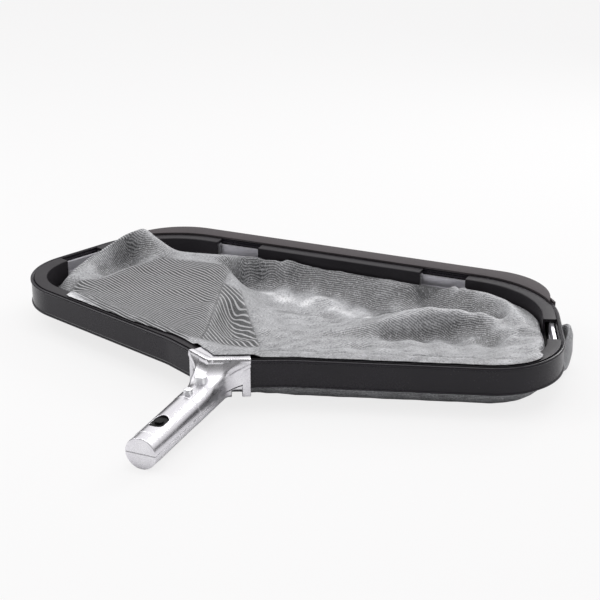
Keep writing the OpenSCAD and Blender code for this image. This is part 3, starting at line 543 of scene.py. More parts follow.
def arm_frame(x, y):
    """A plan point by its arm: its distance from the middle plane, its distance out from the hoop's outer
    face, its distance along the arm, and how far along that the bracket ends."""
    side = np.abs(x)
    return (side, side * math.sin(BOW) - y * math.cos(BOW), side * math.cos(BOW) + y * math.sin(BOW),
            np.where(x > 0, ARM_RIGHT, ARM_LEFT))


# %% Shank and bracket
def barrel(x, y, z):
    """The shank: a cylinder that starts a step slimmer and ends a step wider, with a round end edge."""
    _, v, w = shank_frame(x, y, z)
    radius = SHANK_R + STEP * smooth_step((v - POLE_STOP) / 1.5) - STEP * smooth_step((LEAD_IN - v) / 0.8)
    return np.maximum(keep_round(np.hypot(x, w) - radius, -v, 0.7), WRAP_IN - arm_frame(x, y)[1])


def bracket(x, y, z):
    """A wall in front of each arm, a plate on it and a hook behind it, with round top edges."""
    side, out, s, arm_end = arm_frame(x, y)
    behind = -HOOK_IN - HOOK_T
    wall = keep_round(slab(out, WRAP_IN, WRAP_OUT), FOOT_Z - z, 1.3)
    wall = keep_round(keep_round(wall, out - WRAP_OUT, 0.1), z - WRAP_Z, 2.4)
    top = keep_round(keep_round(slab(out, behind, WRAP_OUT), z - WRAP_Z, 2.4), RIM_TOP - z, 0.3)
    hook = keep_round(slab(out, behind, -HOOK_IN), slab(z, RIM_TOP - 7, WRAP_Z), 1.0)
    return keep_round(np.minimum(np.minimum(wall, top), hook), s - arm_end, np.where(x > 0, 0.8, 2.6))


# %% Horn
def horn(x, y, z):
    """What fills the corner between shank and arm. In plan a circle touches both, wider near the top. Up
    to 14 mm from the wall a cove with the height 34 + 12.6 (1 - d)^3 runs down, and further out the horn
    shrinks into the shank."""
    side, out, s, arm_end = arm_frame(x, y)
    in_front = out - WRAP_OUT
    shrink = smooth_step((in_front - 8) / 20)
    r = 20 + 24 * smooth_step((z - 35.5) / 11)
    middle_x = SHANK_R + r
    middle_y = (middle_x * math.sin(BOW) - (WRAP_OUT + r)) / math.cos(BOW)
    touch = middle_x * math.cos(BOW) + middle_y * math.sin(BOW)
    in_corner = (side < middle_x) & (s < touch) & (y > middle_y)
    corner = r - np.hypot(side - middle_x, y - middle_y)
    beside = np.where(in_corner, corner, np.minimum(side - SHANK_R, in_front)) + 4.5 * shrink
    d = np.clip(in_front / 14, 0, 1)
    cove = 34 + 12.6 * (1 - d) ** 3 - 7 * shrink
    slope = 1 / np.sqrt(1 + (2.7 * (1 - d) ** 2) ** 2)
    body = keep_round(beside, np.maximum((z - cove) * slope, FOOT_Z + 1.2 - z), 2.6)
    body = keep_round(body, s - np.minimum(touch + 1.5, arm_end - 0.4), 1.2)
    return np.maximum(np.maximum(body, WRAP_IN - out), in_front - 30)


# %% Brow
def brow(x, y, z):
    """A ridge that leaves the horn's edge and runs along the wall, up to the arm's top corner, while it
    grows thinner."""
    side, out, s, arm_end = arm_frame(x, y)
    in_front = out - WRAP_OUT
    along = np.clip((s - 16) / (arm_end - 15.5), 0, 1)
    ridge = np.where(x > 0, 36.0, 36.5) + 8 * along
    thick = 3.2 - 2.8 * along
    lean = np.clip((WRAP_Z - 0.6 - z) / (WRAP_Z - 0.6 - ridge), 0, 1)
    front = np.maximum(in_front - thick * lean ** 1.4, (ridge - z - 0.4 * (thick - in_front)) * 0.9)
    body = np.maximum(np.maximum(front, s - arm_end), np.maximum(WRAP_IN - out, 12 - s))
    return keep_round(body, z - WRAP_Z + 0.3, 1.0)


# %% Both castings together
def casting(x, y, z):
    """Shank, horns, bracket, tongue and feet joined, less the notches, slots, bore, bolt holes and the seats
    of the bolts' heads."""
    _, v, w = shank_frame(x, y, z)
    side, out, s, arm_end = arm_frame(x, y)
    notch_end = arm_end - np.where(x > 0, LEG_RIGHT, LEG_LEFT)
    tongue = np.maximum(np.maximum(side - 3.6, slab(z, FOOT_Z, WRAP_Z - 1)), slab(y, -4, 9.2))
    foot = keep_round(slab(out, -6, WRAP_IN + 1), slab(z, FOOT_Z, RIM_BASE - 0.1), 0.8)
    foot = keep_round(foot, s - (notch_end - NOTCH), 0.8)
    solid = join_round(barrel(x, y, z), horn(x, y, z), 2.2)
    solid = join_round(solid, join_round(bracket(x, y, z), brow(x, y, z), 1.2), 2.4)
    solid = np.minimum(np.minimum(solid, tongue), foot)

    notch = np.maximum(slab(s, notch_end - NOTCH, notch_end), z - RIM_BASE - 0.4)
    notch = np.maximum(np.maximum(notch, SHANK_R + 1.2 - side), out - WRAP_OUT - 5)
    slot = np.maximum(stadium(x, v - SLOT_AT, 12, 20), BORE_R - 3 - np.abs(w))
    solid = keep_round(keep_round(solid, -notch, 0.4), -slot, 0.5)
    bore = np.maximum(np.hypot(x, w) - BORE_R, slab(v, BORE_FROM, BORE_TO))
    from_clamp, from_screw = np.hypot(x, v - CLAMP_AT), np.hypot(x, v - SCREW_AT)
    holes = np.minimum(from_clamp - 4.1, from_screw - 2.6)
    seats = np.minimum(np.maximum(from_clamp - 6.7, w + 7.05), np.maximum(from_screw - 4.4, w + 9.05))
    return np.maximum(solid, -np.minimum(np.minimum(bore, holes), seats))


# %% Where the two castings part
def parting(x, y, z):
    """Height above the joint of the two castings, and distance beyond the notches, below 0 between them.
    The joint is the shank's middle plane, and climbs 4.2 mm in a straight line from the shank's side to the
    notch's outer side."""
    _, _, w = shank_frame(x, y, z)
    notch_x = np.where(x > 0, NOTCH_X_RIGHT, NOTCH_X_LEFT)
    climb = np.clip((np.abs(x) - SHANK_R - 0.4) / (notch_x - SHANK_R - 0.4), 0, 1)
    return w - 4.2 * climb, np.abs(x) - notch_x


def upper_half(x, y, z):
    """The casting less what is below the joint and between the notches."""
    return keep_round(casting(x, y, z), -np.maximum(*parting(x, y, z)), 0.25)


def lower_half(x, y, z):
    """The rest of the casting, less a gap of 0.12 mm along the shank and 0.5 mm beside it."""
    above, beyond = parting(x, y, z)
    gap = 0.12 + 0.38 * smooth_step((np.abs(x) - SHANK_R) / 3)
    return keep_round(casting(x, y, z), np.maximum(above + gap, beyond), 0.25)


# %% [markdown]
# ### Skinning a field
# Surface nets do it: each cell of a fine grid that the surface crosses gets one point, at the mean of the
# places where the surface crosses its edges, and each crossed edge becomes a quad between the four cells
# round it. Newton's method then slides every point on to the surface, along the field's slope, and it is
# all whole-array work.

# %% Edges that the surface crosses
def crossed_edges(values, axis):
    """The grid's edges along one axis whose ends differ in sign: the crossing points in grid steps, the four
    cells round each edge, and whether their order has to stay. Edges on the grid's sides are left out."""
    a, b = np.moveaxis(values, axis, 0)[:-1], np.moveaxis(values, axis, 0)[1:]
    i, j, k = np.nonzero((a < 0) != (b < 0))
    a, b = a[i, j, k], b[i, j, k]
    others = [n for n in range(3) if n != axis]
    first = np.empty((len(i), 3), int)
    first[:, axis], first[:, others[0]], first[:, others[1]] = i, j, k
    inner = ((first[:, others] > 0) & (first[:, others] < np.array(values.shape)[others] - 1)).all(1)
    first, a, b = first[inner], a[inner], b[inner]
    at = first.astype(float)
    at[:, axis] += a / (a - b)
    cells = np.repeat(first[:, None], 4, 1)
    cells[..., others[0]] -= [1, 0, 0, 1]
    cells[..., others[1]] -= [1, 1, 0, 0]
    return at, cells, (a < 0) ^ (axis == 1)


# %% Surface nets
def slide(points, field, step, h=0.02, rounds=4):
    """Points moved on to the surface by Newton's method, p - f g / |g|^2 with the slope g from steps of h,
    and the surface's normals there."""
    for _ in range(rounds):
        x, y, z = points.T
        g = np.stack([field(x + h, y, z) - field(x - h, y, z), field(x, y + h, z) - field(x, y - h, z),
                      field(x, y, z + h) - field(x, y, z - h)], -1) / (2 * h)
        move = -field(x, y, z)[:, None] * g / np.maximum((g * g).sum(1), 0.2)[:, None]
        points = points + np.clip(move, -0.35 * step, 0.35 * step)
    return points, g / np.maximum(np.linalg.norm(g, axis=1), 1e-9)[:, None]


def skin(field, low, high, step):
    """Points, quads and normals of the surface field = 0 inside a box, from a grid of a given step."""
    axes = [np.arange(a, b + step, step) for a, b in zip(low, high)]
    values = field(*np.meshgrid(*axes, indexing="ij")).astype(np.float32)
    edges = [crossed_edges(values, axis) for axis in range(3)]
    shape = tuple(n - 1 for n in values.shape)
    total, count, number = np.zeros((*shape, 3)), np.zeros(shape), np.zeros(shape, int)
    for at, cells, _ in edges:
        for corner in range(4):
            cell = tuple(cells[:, corner].T)
            np.add.at(total, cell, at)
            np.add.at(count, cell, 1)
    used = count > 0
    number[used] = np.arange(used.sum())
    rings = [(number[tuple(np.moveaxis(cells, -1, 0))], stays[:, None]) for _, cells, stays in edges]
    quads = np.concatenate([np.where(stays, ring, ring[:, ::-1]) for ring, stays in rings])
    points, normals = slide(total[used] / count[used][:, None] * step + np.array(low), field, step)
    return points, quads, normals


# %% Both castings
fine = 0.65
for name, field, node, low, high in (
        ("handle_upper_casting", upper_half, "handle_upper", (-29, -124.5, 9), (35, 27, 49)),
        ("handle_lower_casting", lower_half, "handle_lower", (-29, -124.5, -1.5), (35, 27, 27))):
    points, faces, normals = skin(field, low, high, fine)
    add_piece(name, points, faces, cast_bright, node, normals=normals)

# %% [markdown]
# ### Nuts
# Each bolt ends in a bright boxy nut on top of the shank, with its edges tumbled round. A block with round
# edges is again a field: the distance to a box, less a radius.

# %% Clamp nut and shank nut
def nut(at, wide, long, tall):
    """The field of a block with round corners and a round top edge, on the shank's crest."""
    def field(x, y, z):
        _, v, w = shank_frame(x, y, z)
        r = 0.33 * wide
        q = np.stack([np.abs(x) - wide / 2 + r, np.abs(v - at) - long / 2 + r])
        plan = np.linalg.norm(np.maximum(q, 0), axis=0) + np.minimum(q.max(0), 0) - r
        return keep_round(plan, slab(w, SHANK_R - 0.5, SHANK_R + tall), 1.3)
    return field


for name, node, at, wide, long, tall in (
        ("clamp_nut_block", "clamp_nut", CLAMP_AT, 10.6, 9.6, 6.6),
        ("shank_nut_block", "shank_nut", SCREW_AT, 7.2, 7.0, 5.1)):
    centre = from_shank([[0, at, SHANK_R + tall / 2]])[0]
    half = np.array([wide, long, tall + 1]) / 2 + 2
    points, faces, normals = skin(nut(at, wide, long, tall), centre - half, centre + half, 0.4)
    add_piece(name, points, faces, nut_bright, node, normals=normals)

# %% [markdown]
# ## The net
# The bag is a knitted mesh, hung from a hem tape that folds over the flat bar. It lies crumpled in the
# hoop: drawn up in a tent at the left, pulled over the front ledges, and spilling on to the floor. A
# cloth simulation from a flat cut would crumple, but not into these folds. So the folds are drawn as
# crease lines in space, and a sheet is stretched between them: the height is a sum of cones, one on each
# crease point, whose weights make the sheet pass through all of them. Cones keep creases sharp and the
# cloth taut between them, as pulled mesh is.

# %% Crease lines, as points with their heights
CREASES = [
    [(-207, 262, 36), (-204, 249, 52), (-202, 235, 66), (-212, 220, 62), (-222, 202, 55), (-229, 178, 50),
     (-232, 145, 44)],
    [(-200, 236, 64), (-186, 243, 52), (-167, 243, 42), (-150, 248, 38)],
    [(-228, 128, 42), (-197, 127, 42), (-191, 175, 42), (-171, 219, 42), (-148, 225, 40), (-114, 233, 40),
     (-99, 227, 40)],
    [(-206, 226, 38), (-212, 200, 33), (-214, 170, 33)],
    [(-99, 227, 40), (-83, 183, 38), (-61, 121, 38), (-42, 70, 40), (-35, 47, 42)],
    [(-67, 187, 34), (-26, 130, 30), (6, 84, 28)],
    [(-54, 150, 22), (-50, 135, 21), (-29, 100, 22)],
    [(-164, 250, 40), (-99, 264, 39), (-39, 277, 38), (26, 280, 37), (64, 282, 36)],
    [(-120, 252, 34), (-84, 258, 20), (-40, 262, 16), (-10, 258, 16), (30, 252, 13), (62, 250, 12)],
    [(80, 145, 32), (102, 160, 36), (115, 169, 38), (131, 181, 40), (142, 192, 41), (157, 204, 41),
     (172, 214, 40), (190, 208, 38), (204, 190, 36)],
    [(112, 284, 38), (140, 272, 41), (171, 255, 42), (192, 241, 41), (209, 216, 40), (218, 194, 38),
     (220, 180, 36)],
    [(60, 296, 28), (84, 286, 22), (104, 270, 17), (122, 254, 17), (140, 243, 18), (160, 236, 20),
     (185, 222, 24)],
    [(103, 150, 24), (128, 173, 24), (160, 192, 25), (190, 186, 27)],
    [(60, 112, 27), (113, 150, 26), (155, 160, 26), (205, 168, 27)],
    [(218, 194, 40), (216, 152, 38), (245, 162, 44), (253, 118, 44)],
    [(-150, 138, 38), (-113, 131, 36), (-80, 140, 35)],
    [(-142, 87, 42), (-74, 100, 38), (-82, 57, 43)],
    [(-96, 252, 4), (-78, 262, 6)],
    [(66, 226, 10), (84, 218, 12), (106, 222, 14)],
    [(-44, 248, 16), (-23, 238, 12), (-1, 242, 19), (29, 236, 13), (50, 240, 10)],
    [(9, 167, 20), (-25, 171, 21), (38, 176, 19), (-40, 205, 14), (0, 205, 12)],
]
LOOSE = [(-170, 180, 39), (-130, 185, 38), (-178, 110, 41), (-204, 150, 36), (-20, 60, 33), (10, 45, 36),
         (60, 75, 33), (110, 100, 31), (170, 125, 30), (-76, 256, 8), (68, 215, 16), (46, 154, 27),
         (53, 187, 22), (120, 135, 28), (180, 150, 28), (140, 228, 30)]
# Height of the net along the hoop's inner side, round the right half and round the left, from the apex
RIGHT_EDGE = [(0, 46.5), (36, 46), (280, 45.5), (318, 42), (346, 41), (375, 38), (407, 35), (450, 33),
              (530, 32), (662, 34)]
LEFT_EDGE = [(0, 46.5), (27, 46), (208, 45), (236, 22), (300, 20), (346, 24), (380, 34), (407, 33), (450, 24),
             (500, 24), (560, 32), (662, 34)]
EDGE_OUT = -19.0
# Crease points closer than this are thinned out, each cone's tip is rounded over TIP, and the sheet may
# miss a point a little, by GIVE times its weight
NEAR_MM, TIP, GIVE = 2.5, 3.5, 1.2


# %% Points on and between the creases
def both_halves(right, left, s):
    """A value read from two tables of (distance from the apex, value), one for each half of the hoop. It
    stays the same before a table's first distance and after its last one."""
    r, l = np.array(right, float).T, np.array(left, float).T
    return np.where(s <= HALF, np.interp(s, *r), np.interp(2 * HALF - s, *l))


def closed_round(t, out):
    """Points of a closed ring at share t of the way round, at a distance out from the outer face. Near the
    apex the distance along starts where the offset lines of the two arms meet, at -out tan of the bow."""
    first = -np.asarray(out, float) * math.tan(BOW)
    s = np.asarray(t, float) * 2 * HALF
    shift = first * (1 - np.minimum(s, 2 * HALF - s) / HALF)
    return hoop(np.where(s <= HALF, s + shift, s - shift), out), s


edge_t = np.arange(0, 1, 1 / 110)
edge_plan, edge_s = closed_round(edge_t, np.full(edge_t.shape, EDGE_OUT))
edge_height = both_halves(RIGHT_EDGE, LEFT_EDGE, edge_s)
# The tent's crest comes first and is cut finer than the other creases
knots = np.concatenate([even_steps(CREASES[0], pitch=5), *(even_steps(c, pitch=9) for c in CREASES[1:]),
                        LOOSE, np.column_stack([edge_plan, edge_height])])
apart = np.linalg.norm(knots[:, None, :2] - knots[None, :, :2], axis=-1)
knots = knots[~(np.tril(apart < NEAR_MM, -1)).any(1)]
print("crease points", len(knots))

# %% Weights of the cones
cones = np.sqrt(((knots[:, None, :2] - knots[None, :, :2]) ** 2).sum(-1) + TIP ** 2)
ones = np.ones((len(knots), 1))
equations = np.block([[cones - GIVE * np.eye(len(knots)), ones], [ones.T, np.zeros((1, 1))]])
weights = np.linalg.solve(equations, np.append(knots[:, 2], 0))


def ripples(x, y):
    """Small slack folds: four waves of different directions and lengths whose strength drifts."""
    a = np.sin(0.19 * x + 0.11 * y + 1.5 * np.sin(0.031 * y)) * np.sin(0.021 * x - 0.017 * y + 1)
    b = np.sin(-0.08 * x + 0.23 * y + 1.2 * np.sin(0.027 * x)) * np.sin(0.017 * x + 0.024 * y)
    c = np.sin(0.33 * x - 0.27 * y + 2 * np.sin(0.05 * (x + y))) * np.sin(0.03 * y + 2)
    return a + b + 0.35 * c


def lie(x, y):
    """Height of the net at a plan point: the sum of the cones by their weights, with ripples where the
    cloth isn't pulled taut."""
    shape = x.shape
    p = np.stack([x.ravel(), y.ravel()], -1)
    z = np.concatenate([np.sqrt(((q[:, None] - knots[None, :, :2]) ** 2).sum(-1) + TIP ** 2) @ weights[:-1]
                        for q in np.array_split(p, max(1, len(p) // 4000))]) + weights[-1]
    slack = smooth_step((p[:, 0] + 40) / 60) * 0.9 + 0.25
    return np.maximum(z + slack * ripples(p[:, 0], p[:, 1]), 0.8).reshape(shape)


# %% [markdown]
# ### Where the ribs run
# The ribs keep their spacing on the cloth, not in plan, so the UVs are lengths measured along the cloth:
# the slope's own length, added up from the front and from the left. A fold turns the cloth, so each taut
# panel between creases has two directions of its own instead, and a signed distance says where it ends.

# %% Lengths along the cloth
GRID_X, GRID_Y, PITCH = -266.0, -30.0, 2.0
mesh_x, mesh_y = np.meshgrid(np.arange(GRID_X, 268, PITCH), np.arange(GRID_Y, 306, PITCH), indexing="ij")
relief = lie(mesh_x, mesh_y)
slope_x, slope_y = np.gradient(relief, PITCH)
run_y = np.cumsum(np.hypot(1, np.clip(slope_y, -1.5, 1.5)), 1) * PITCH
run_x = np.cumsum(np.hypot(1, np.clip(slope_x, -1.5, 1.5)), 0) * PITCH


# %% Reading a grid, and distances to outlines
def read_grid(grid, x, y):
    """Value of a grid at plan points, in straight lines between its four neighbours."""
    u = np.clip((x - GRID_X) / PITCH, 0, grid.shape[0] - 1.001)
    v = np.clip((y - GRID_Y) / PITCH, 0, grid.shape[1] - 1.001)
    i, j = u.astype(int), v.astype(int)
    u, v = u - i, v - j
    return ((1 - u) * (1 - v) * grid[i, j] + u * (1 - v) * grid[i + 1, j] + (1 - u) * v * grid[i, j + 1]
            + u * v * grid[i + 1, j + 1])


def within(x, y, corners):
    """Whether plan points are inside a polygon: an odd number of its edges cross the line to the right."""
    inside = np.zeros(np.shape(x), bool)
    for (x1, y1), (x2, y2) in zip(corners, corners[1:] + corners[:1]):
        if y1 != y2:
            inside ^= ((y1 > y) != (y2 > y)) & (x < (x2 - x1) * (y - y1) / (y2 - y1) + x1)
    return inside


def inside_by(x, y, corners):
    """Signed distance to a polygon in millimetres, above 0 inside it."""
    p = np.stack([x, y], -1)
    best = np.full(np.shape(x), 1e9)
    for a, b in zip(np.array(corners, float), np.array(corners[1:] + corners[:1], float)):
        t = np.clip(((p - a) @ (b - a)) / ((b - a) @ (b - a)), 0, 1)
        best = np.minimum(best, np.linalg.norm(p - a - t[..., None] * (b - a), axis=-1))
    return np.where(within(x, y, corners), best, -best)


# %% Panels
# Each panel: its outline, how far across the ribs a step in X, Y and Z goes, and how far along them
PANELS = {
    "left_panel": ([(-214, 126), (-191, 150), (-189, 178), (-171, 219), (-148, 227), (-114, 234), (-96, 228),
                    (-83, 183), (-61, 121), (-42, 70), (-35, 47), (-42, 22), (-80, 30), (-150, 62),
                    (-216, 100)],
                   (0.385, 0.857, 0.0), (0.912, -0.41, 0.0)),
    "facet": ([(-84, 188), (-60, 122), (-41, 70), (-34, 45), (8, 80), (-26, 130), (-66, 190)],
              (0.38, 0.565, -0.14), (0.814, -0.581, -0.123)),
    "tent_side": ([(-205, 262), (-200, 237), (-218, 209), (-227, 178), (-226, 140), (-240, 122),
                   (-262, 130), (-262, 262)],
                  (0.34, 1.02, 0.25), (0.9, -0.3, 0.3)),
}


# %% How pale the cloth is, with painted shade and light
# Slack folds show the paler side of the cloth, and taut panels let the dark through. On top of that the tones
# paint shade into hollows and on panels turned from the light, and paint light on lit folds: outlines with a
# tone, softened, and bells of (x, y, reach, tone)
PAINTED_OUTLINES = [
    (PANELS["left_panel"][0], -1.5), (PANELS["facet"][0], -1.3), (PANELS["tent_side"][0], -0.6),
    ([(-92, 262), (-60, 266), (-10, 262), (40, 250), (60, 232), (20, 222), (-30, 226), (-70, 238)], 0.95),
    ([(60, 226), (88, 222), (104, 200), (84, 192), (62, 204)], 0.75),
    ([(-160, 262), (-100, 276), (60, 286), (200, 262), (190, 240), (90, 258), (-30, 272), (-100, 250)],
     -0.35),
    ([(-214, 98), (-150, 60), (-80, 28), (-44, 20), (-40, 2), (-90, 16), (-160, 50), (-225, 92)], 1.5),
    ([(-30, 150), (20, 90), (120, 100), (200, 120), (210, 165), (90, 150), (0, 170)], 0.05),
    ([(80, 140), (104, 166), (142, 198), (172, 220), (205, 196), (200, 182), (170, 206), (146, 186),
      (116, 162), (92, 136)], 0.6),
    ([(60, 300), (84, 292), (112, 262), (142, 240), (136, 230), (100, 250), (70, 284)], -0.8),
    ([(118, 290), (172, 262), (212, 222), (226, 180), (214, 180), (200, 216), (168, 246), (120, 276)], 0.45),
    ([(150, 150), (196, 160), (208, 186), (176, 200), (150, 190)], -0.35),
    ([(212, 196), (238, 196), (262, 160), (256, 110), (236, 116), (222, 150)], 0.3),
    ([(-36, 236), (-84, 258), (-112, 268), (-100, 290), (-60, 282), (-70, 262)], -0.7),
]
PAINTED_SPOTS = [(-104, 285, 10, -1.6), (-88, 276, 8, -1.2), (-190, 214, 12, -0.5), (-206, 178, 11, -0.5),
         (176, 196, 12, -0.6), (140, 252, 12, -0.5), (-35, 80, 10, -0.4), (9, 167, 14, 0.5),
         (-25, 171, 10, 0.4), (225, 140, 12, 0.3), (80, 160, 14, -0.35), (230, 190, 10, -0.5),
         (-150, 236, 12, 0.3), (-89, 262, 9, -1.2), (-62, 257, 9, -1.1), (-34, 258, 9, -1.0),
         (0, 252, 9, -0.9), (33, 252, 9, -0.8), (70, 238, 9, -0.7), (-60, 240, 10, 1.1), (-38, 228, 9, 1.3),
         (-11, 226, 9, 1.3), (39, 222, 9, 1.3), (65, 213, 9, 1.2), (17, 220, 7, 0.8), (116, 279, 9, -0.9),
         (100, 284, 8, -0.7), (148, 267, 10, -0.7), (-19, 190, 9, -0.7), (-2, 158, 10, -0.5)]


def painted_shading_grid():
    """The painted tones on the grid, painted shade and light among them: the outlines' softened by three
    passes of a small mean, then the bells.
    """
    painted_tone = sum(value * within(mesh_x, mesh_y, outline) for outline, value in PAINTED_OUTLINES)
    for _ in range(3):
        for axis in (0, 1):
            painted_tone = (np.roll(painted_tone, 1, axis) + painted_tone + np.roll(painted_tone, -1, axis)) / 3
    for x, y, r, value in PAINTED_SPOTS:
        painted_tone = painted_tone + 1.4 * value * np.exp(-((mesh_x - x) ** 2 + (mesh_y - y) ** 2) / r ** 2)
    # Painted light and shade from the relief: crests are painted lighter, as lit folds, hollows darker, as
    # shade, and slopes that face the front darker, as painted shade
    bend = np.gradient(slope_x, PITCH)[0] + np.gradient(slope_y, PITCH)[1]
    return painted_tone - np.clip(4.5 * bend, -0.5, 0.7) - 0.9 * np.clip(slope_y, -0.3, 0.9)


PAINTED_SHADING = painted_shading_grid()
print("tones from", round(float(PAINTED_SHADING.min()), 2), "to", round(float(PAINTED_SHADING.max()), 2))

# %% [markdown]
# ### The sheet, ring by ring
# The sheet is one grid. Its rings start at the hem beside the bar, go down outside the skirt to the floor,
# come back up inside it, turn over the front ledges and back, and then run in to the middle. On stretches
# where the net doesn't cover the ledge, the turn is folded away. At the right rear the outer rings swell
# out beyond the hoop. The rings' paths are lines of (out, height), blended by shares that change on the
# way round.

# %% Rings from the hem to the inner edge
# Paths from the hem down to the floor, on the right half, where the bag is drawn up, and at the swell
FALL = [(-10.3, 27), (-10.3, 20), (-10.0, 17.5), (-11, 14), (-14, 9), (-18, 4.5), (-23, 1.2), (-30, 0.5)]
DRAWN = [(-10.3, 27), (-10.3, 20), (-10.6, 18), (-12.5, 17), (-16, 15.5), (-20, 14), (-24, 12), (-30, 11)]
WAD = [(-10.3, 27), (-10.3, 20), (-8, 17.2), (0, 15.5), (3.5, 22), (5.5, 36), (8.5, 45), (12, 36), (12.5, 18),
       (10, 4), (2, 0.6), (-14, 0.5), (-30, 0.5)]
# Paths up inside the skirt, and over the ledge and back
RISE_LINE = [(-30, 0.9), (-24, 2), (-19.5, 7), (-17.6, 14), (-17.2, 24)]
OVER = [(-16.9, 40), (-16.7, 44.5), (-15.6, 45.9), (-12, 45.9), (-7, 45.8), (-4.0, 45.7), (-3.5, 46.1),
        (-4.2, 46.5), (-8, 46.7), (-13, 46.7), (-15.6, 46.6), (-17, 46.0)]
SKIRT_OUT, TURN_OUT = -17.0, -3.5
WAD_AT, WAD_REACH, WAD_TURN = 385.0, 32.0, 1.3


ROUND, FALLS, RISES, OVERS, INNERS = ((480, 34, 14, 34, 92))
share_round = np.arange(ROUND) / ROUND
_, s_round = closed_round(share_round, np.zeros(ROUND))
# How far the cloth covers the ledge, swells out, and is drawn up, each from 0 to 1 round the hoop
covered = smooth_step(both_halves([(285, 1), (320, 0)], [(205, 1), (232, 0)], s_round))[:, None, None]
swell = np.where(s_round <= HALF, np.exp(-((s_round - WAD_AT) / WAD_REACH) ** 2), 0)[:, None, None]
drawn = both_halves([(0, 0.6), (60, 0)], [(0, 0.6), (40, 1), (330, 1), (430, 0)], s_round)[:, None, None]
edge_h = both_halves(RIGHT_EDGE, LEFT_EDGE, s_round)

fall = even_steps(FALL, FALLS)[None] * (1 - drawn) + even_steps(DRAWN, FALLS)[None] * drawn
fall = fall * (1 - swell) + even_steps(WAD, FALLS)[None] * swell
rise = even_steps(RISE_LINE, RISES)[None] * np.ones((ROUND, 1, 1))
rise[..., 1] = np.maximum(rise[..., 1], 11.5 * drawn[..., 0])
rise[..., 1] = np.minimum(rise[..., 1], edge_h[:, None] - 2)
print("rings from hem to floor", fall.shape[1], "and up inside", rise.shape[1])

# %% Rings over the ledge, or folded away
over = even_steps(OVER, OVERS)[None] * np.ones((ROUND, 1, 1))
away = np.stack([np.full((ROUND, OVERS), SKIRT_OUT),
                 edge_h[:, None] - 2 * (1 - np.linspace(0, 1, OVERS))[None]], -1)
away[..., 0] -= np.linspace(0, 1.6, OVERS)
# Over the handle's bracket the cloth is lifted, and on the left by the bracket it stops short of the bead
reach = both_halves([(0, -4.5), (34, -4.0), (46, -3.8)],
                    [(0, -4.5), (16, -7), (27, -9), (55, -9), (85, -6.5), (115, -4.6), (662, -4.4)], s_round)
lift = both_halves([(35, 2.4), (41, 0)], [(28, 2.4), (34, 0)], s_round)
stretch = (reach - SKIRT_OUT) / (TURN_OUT - SKIRT_OUT)
over[..., 0] = SKIRT_OUT + (over[..., 0] - SKIRT_OUT) * stretch[:, None]
over[..., 1] += lift[:, None] * smooth_step((over[..., 1] - 41) / 4)
over = over * covered + away * (1 - covered)
rings = np.concatenate([fall, rise[:, 1:], over], 1)
waver = np.sin(s_round / 7.0) * 0.5 + np.sin(s_round / 3.1 + 1) * 0.3
rings[:, 6:, 0] += waver[:, None] * smooth_step(np.arange(rings.shape[1] - 6) / 6) * 0.5
plan, _ = closed_round(share_round[:, None], rings[..., 0])
outer_rings = np.concatenate([plan, rings[..., 1:]], -1)

# %% Rings from the inner edge to the middle
# The rings close on a line across the middle, the spine, where the points of its two sides meet in pairs
SPINE_REACH, SPINE_Y = 135, 190.0
edge_ring = closed_round(share_round, np.full(ROUND, EDGE_OUT))[0]
number, quarter = np.arange(ROUND), ROUND // 4
paired = 1 - np.abs(number % (2 * quarter) - quarter) / quarter
spine_x = SPINE_REACH * paired * np.where(number < 2 * quarter, 1, -1)
spine = np.stack([spine_x, np.full(ROUND, SPINE_Y)], -1)
share = np.linspace(1, 0, INNERS)[None, :, None]
inner_plan = spine[:, None] + share * (edge_ring - spine)[:, None]
inner_rings = np.concatenate([inner_plan, lie(inner_plan[..., 0], inner_plan[..., 1])[..., None]], -1)
sheet = np.concatenate([outer_rings, inner_rings], 1)
print("the sheet is a grid of", *sheet.shape[:2], "points")

# %% Where the ribs run on the sheet, and its painted tone
# Inside, the UVs are the lengths added up on the cloth. Outside the inner edge U runs round the hoop, and V
# is the cloth's length from that edge
lengths = np.linalg.norm(np.diff(outer_rings, axis=1), axis=-1)
beyond = np.concatenate([np.cumsum(lengths[:, ::-1], 1)[:, ::-1], np.zeros((ROUND, 1))], 1)
u = np.concatenate([s_round[:, None] + 0 * beyond, read_grid(run_x, *np.moveaxis(inner_plan, -1, 0))], 1)
v = np.concatenate([beyond, read_grid(run_y, *np.moveaxis(inner_plan, -1, 0))], 1)
v[:, :FALLS] += WAD_TURN * (s_round[:, None] - WAD_AT) * swell[..., 0]
painted_shading_at_points = read_grid(PAINTED_SHADING, sheet[..., 0], sheet[..., 1])
# On the left half the rings over the ledges are painted paler by 0.45
painted_shading_at_points[:, :outer_rings.shape[1]] += 0.45 * covered[..., 0] * (s_round > HALF)[:, None]
faces = grid_faces(*sheet.shape[:2], wrap_rows=True)


def sheet_area(points, quads):
    """Area of a sheet of quads in square metres, each quad as two triangles."""
    a, b, c, d = (points.reshape(-1, 3)[quads[:, i]] for i in range(4))
    halves = np.cross(b - a, c - a), np.cross(c - a, d - a)
    return sum(np.linalg.norm(half, axis=1) for half in halves).sum() / 2e6


print("cloth", round(sheet_area(sheet, faces), 4), "square metres,", 2 * len(faces), "triangles")

# %% [markdown]
# ### Mesh finish
# The mesh is knitted, with a light rib about every 3.4 mm and threads 1.25 mm apart across them. Modelling
# each thread would take millions of faces, so the pattern is in the finish: two waves, mixed into how
# solid, how light and how raised the cloth is. Real threads are finer, and would be lost in the picture,
# so both are drawn as coarse as they need to show. On a taut panel they run along two vectors in Object
# coordinates, so that its ribs are straight. Elsewhere they follow the cloth's own UVs, and noise breaks
# them up. Between the ribs the cloth lets a little through, and its threads are slightly glossy.

# %% Directions of the net's ribs
def wave_scale(pitch_mm):
    """Scale of a band wave from its pitch: 2 pi over 20 pitches in metres."""
    return 2 * math.pi / (20 * pitch_mm / 1000)


net, put, shader = new_finish("knitted_net")
spot = put("TexCoord", output="Object")
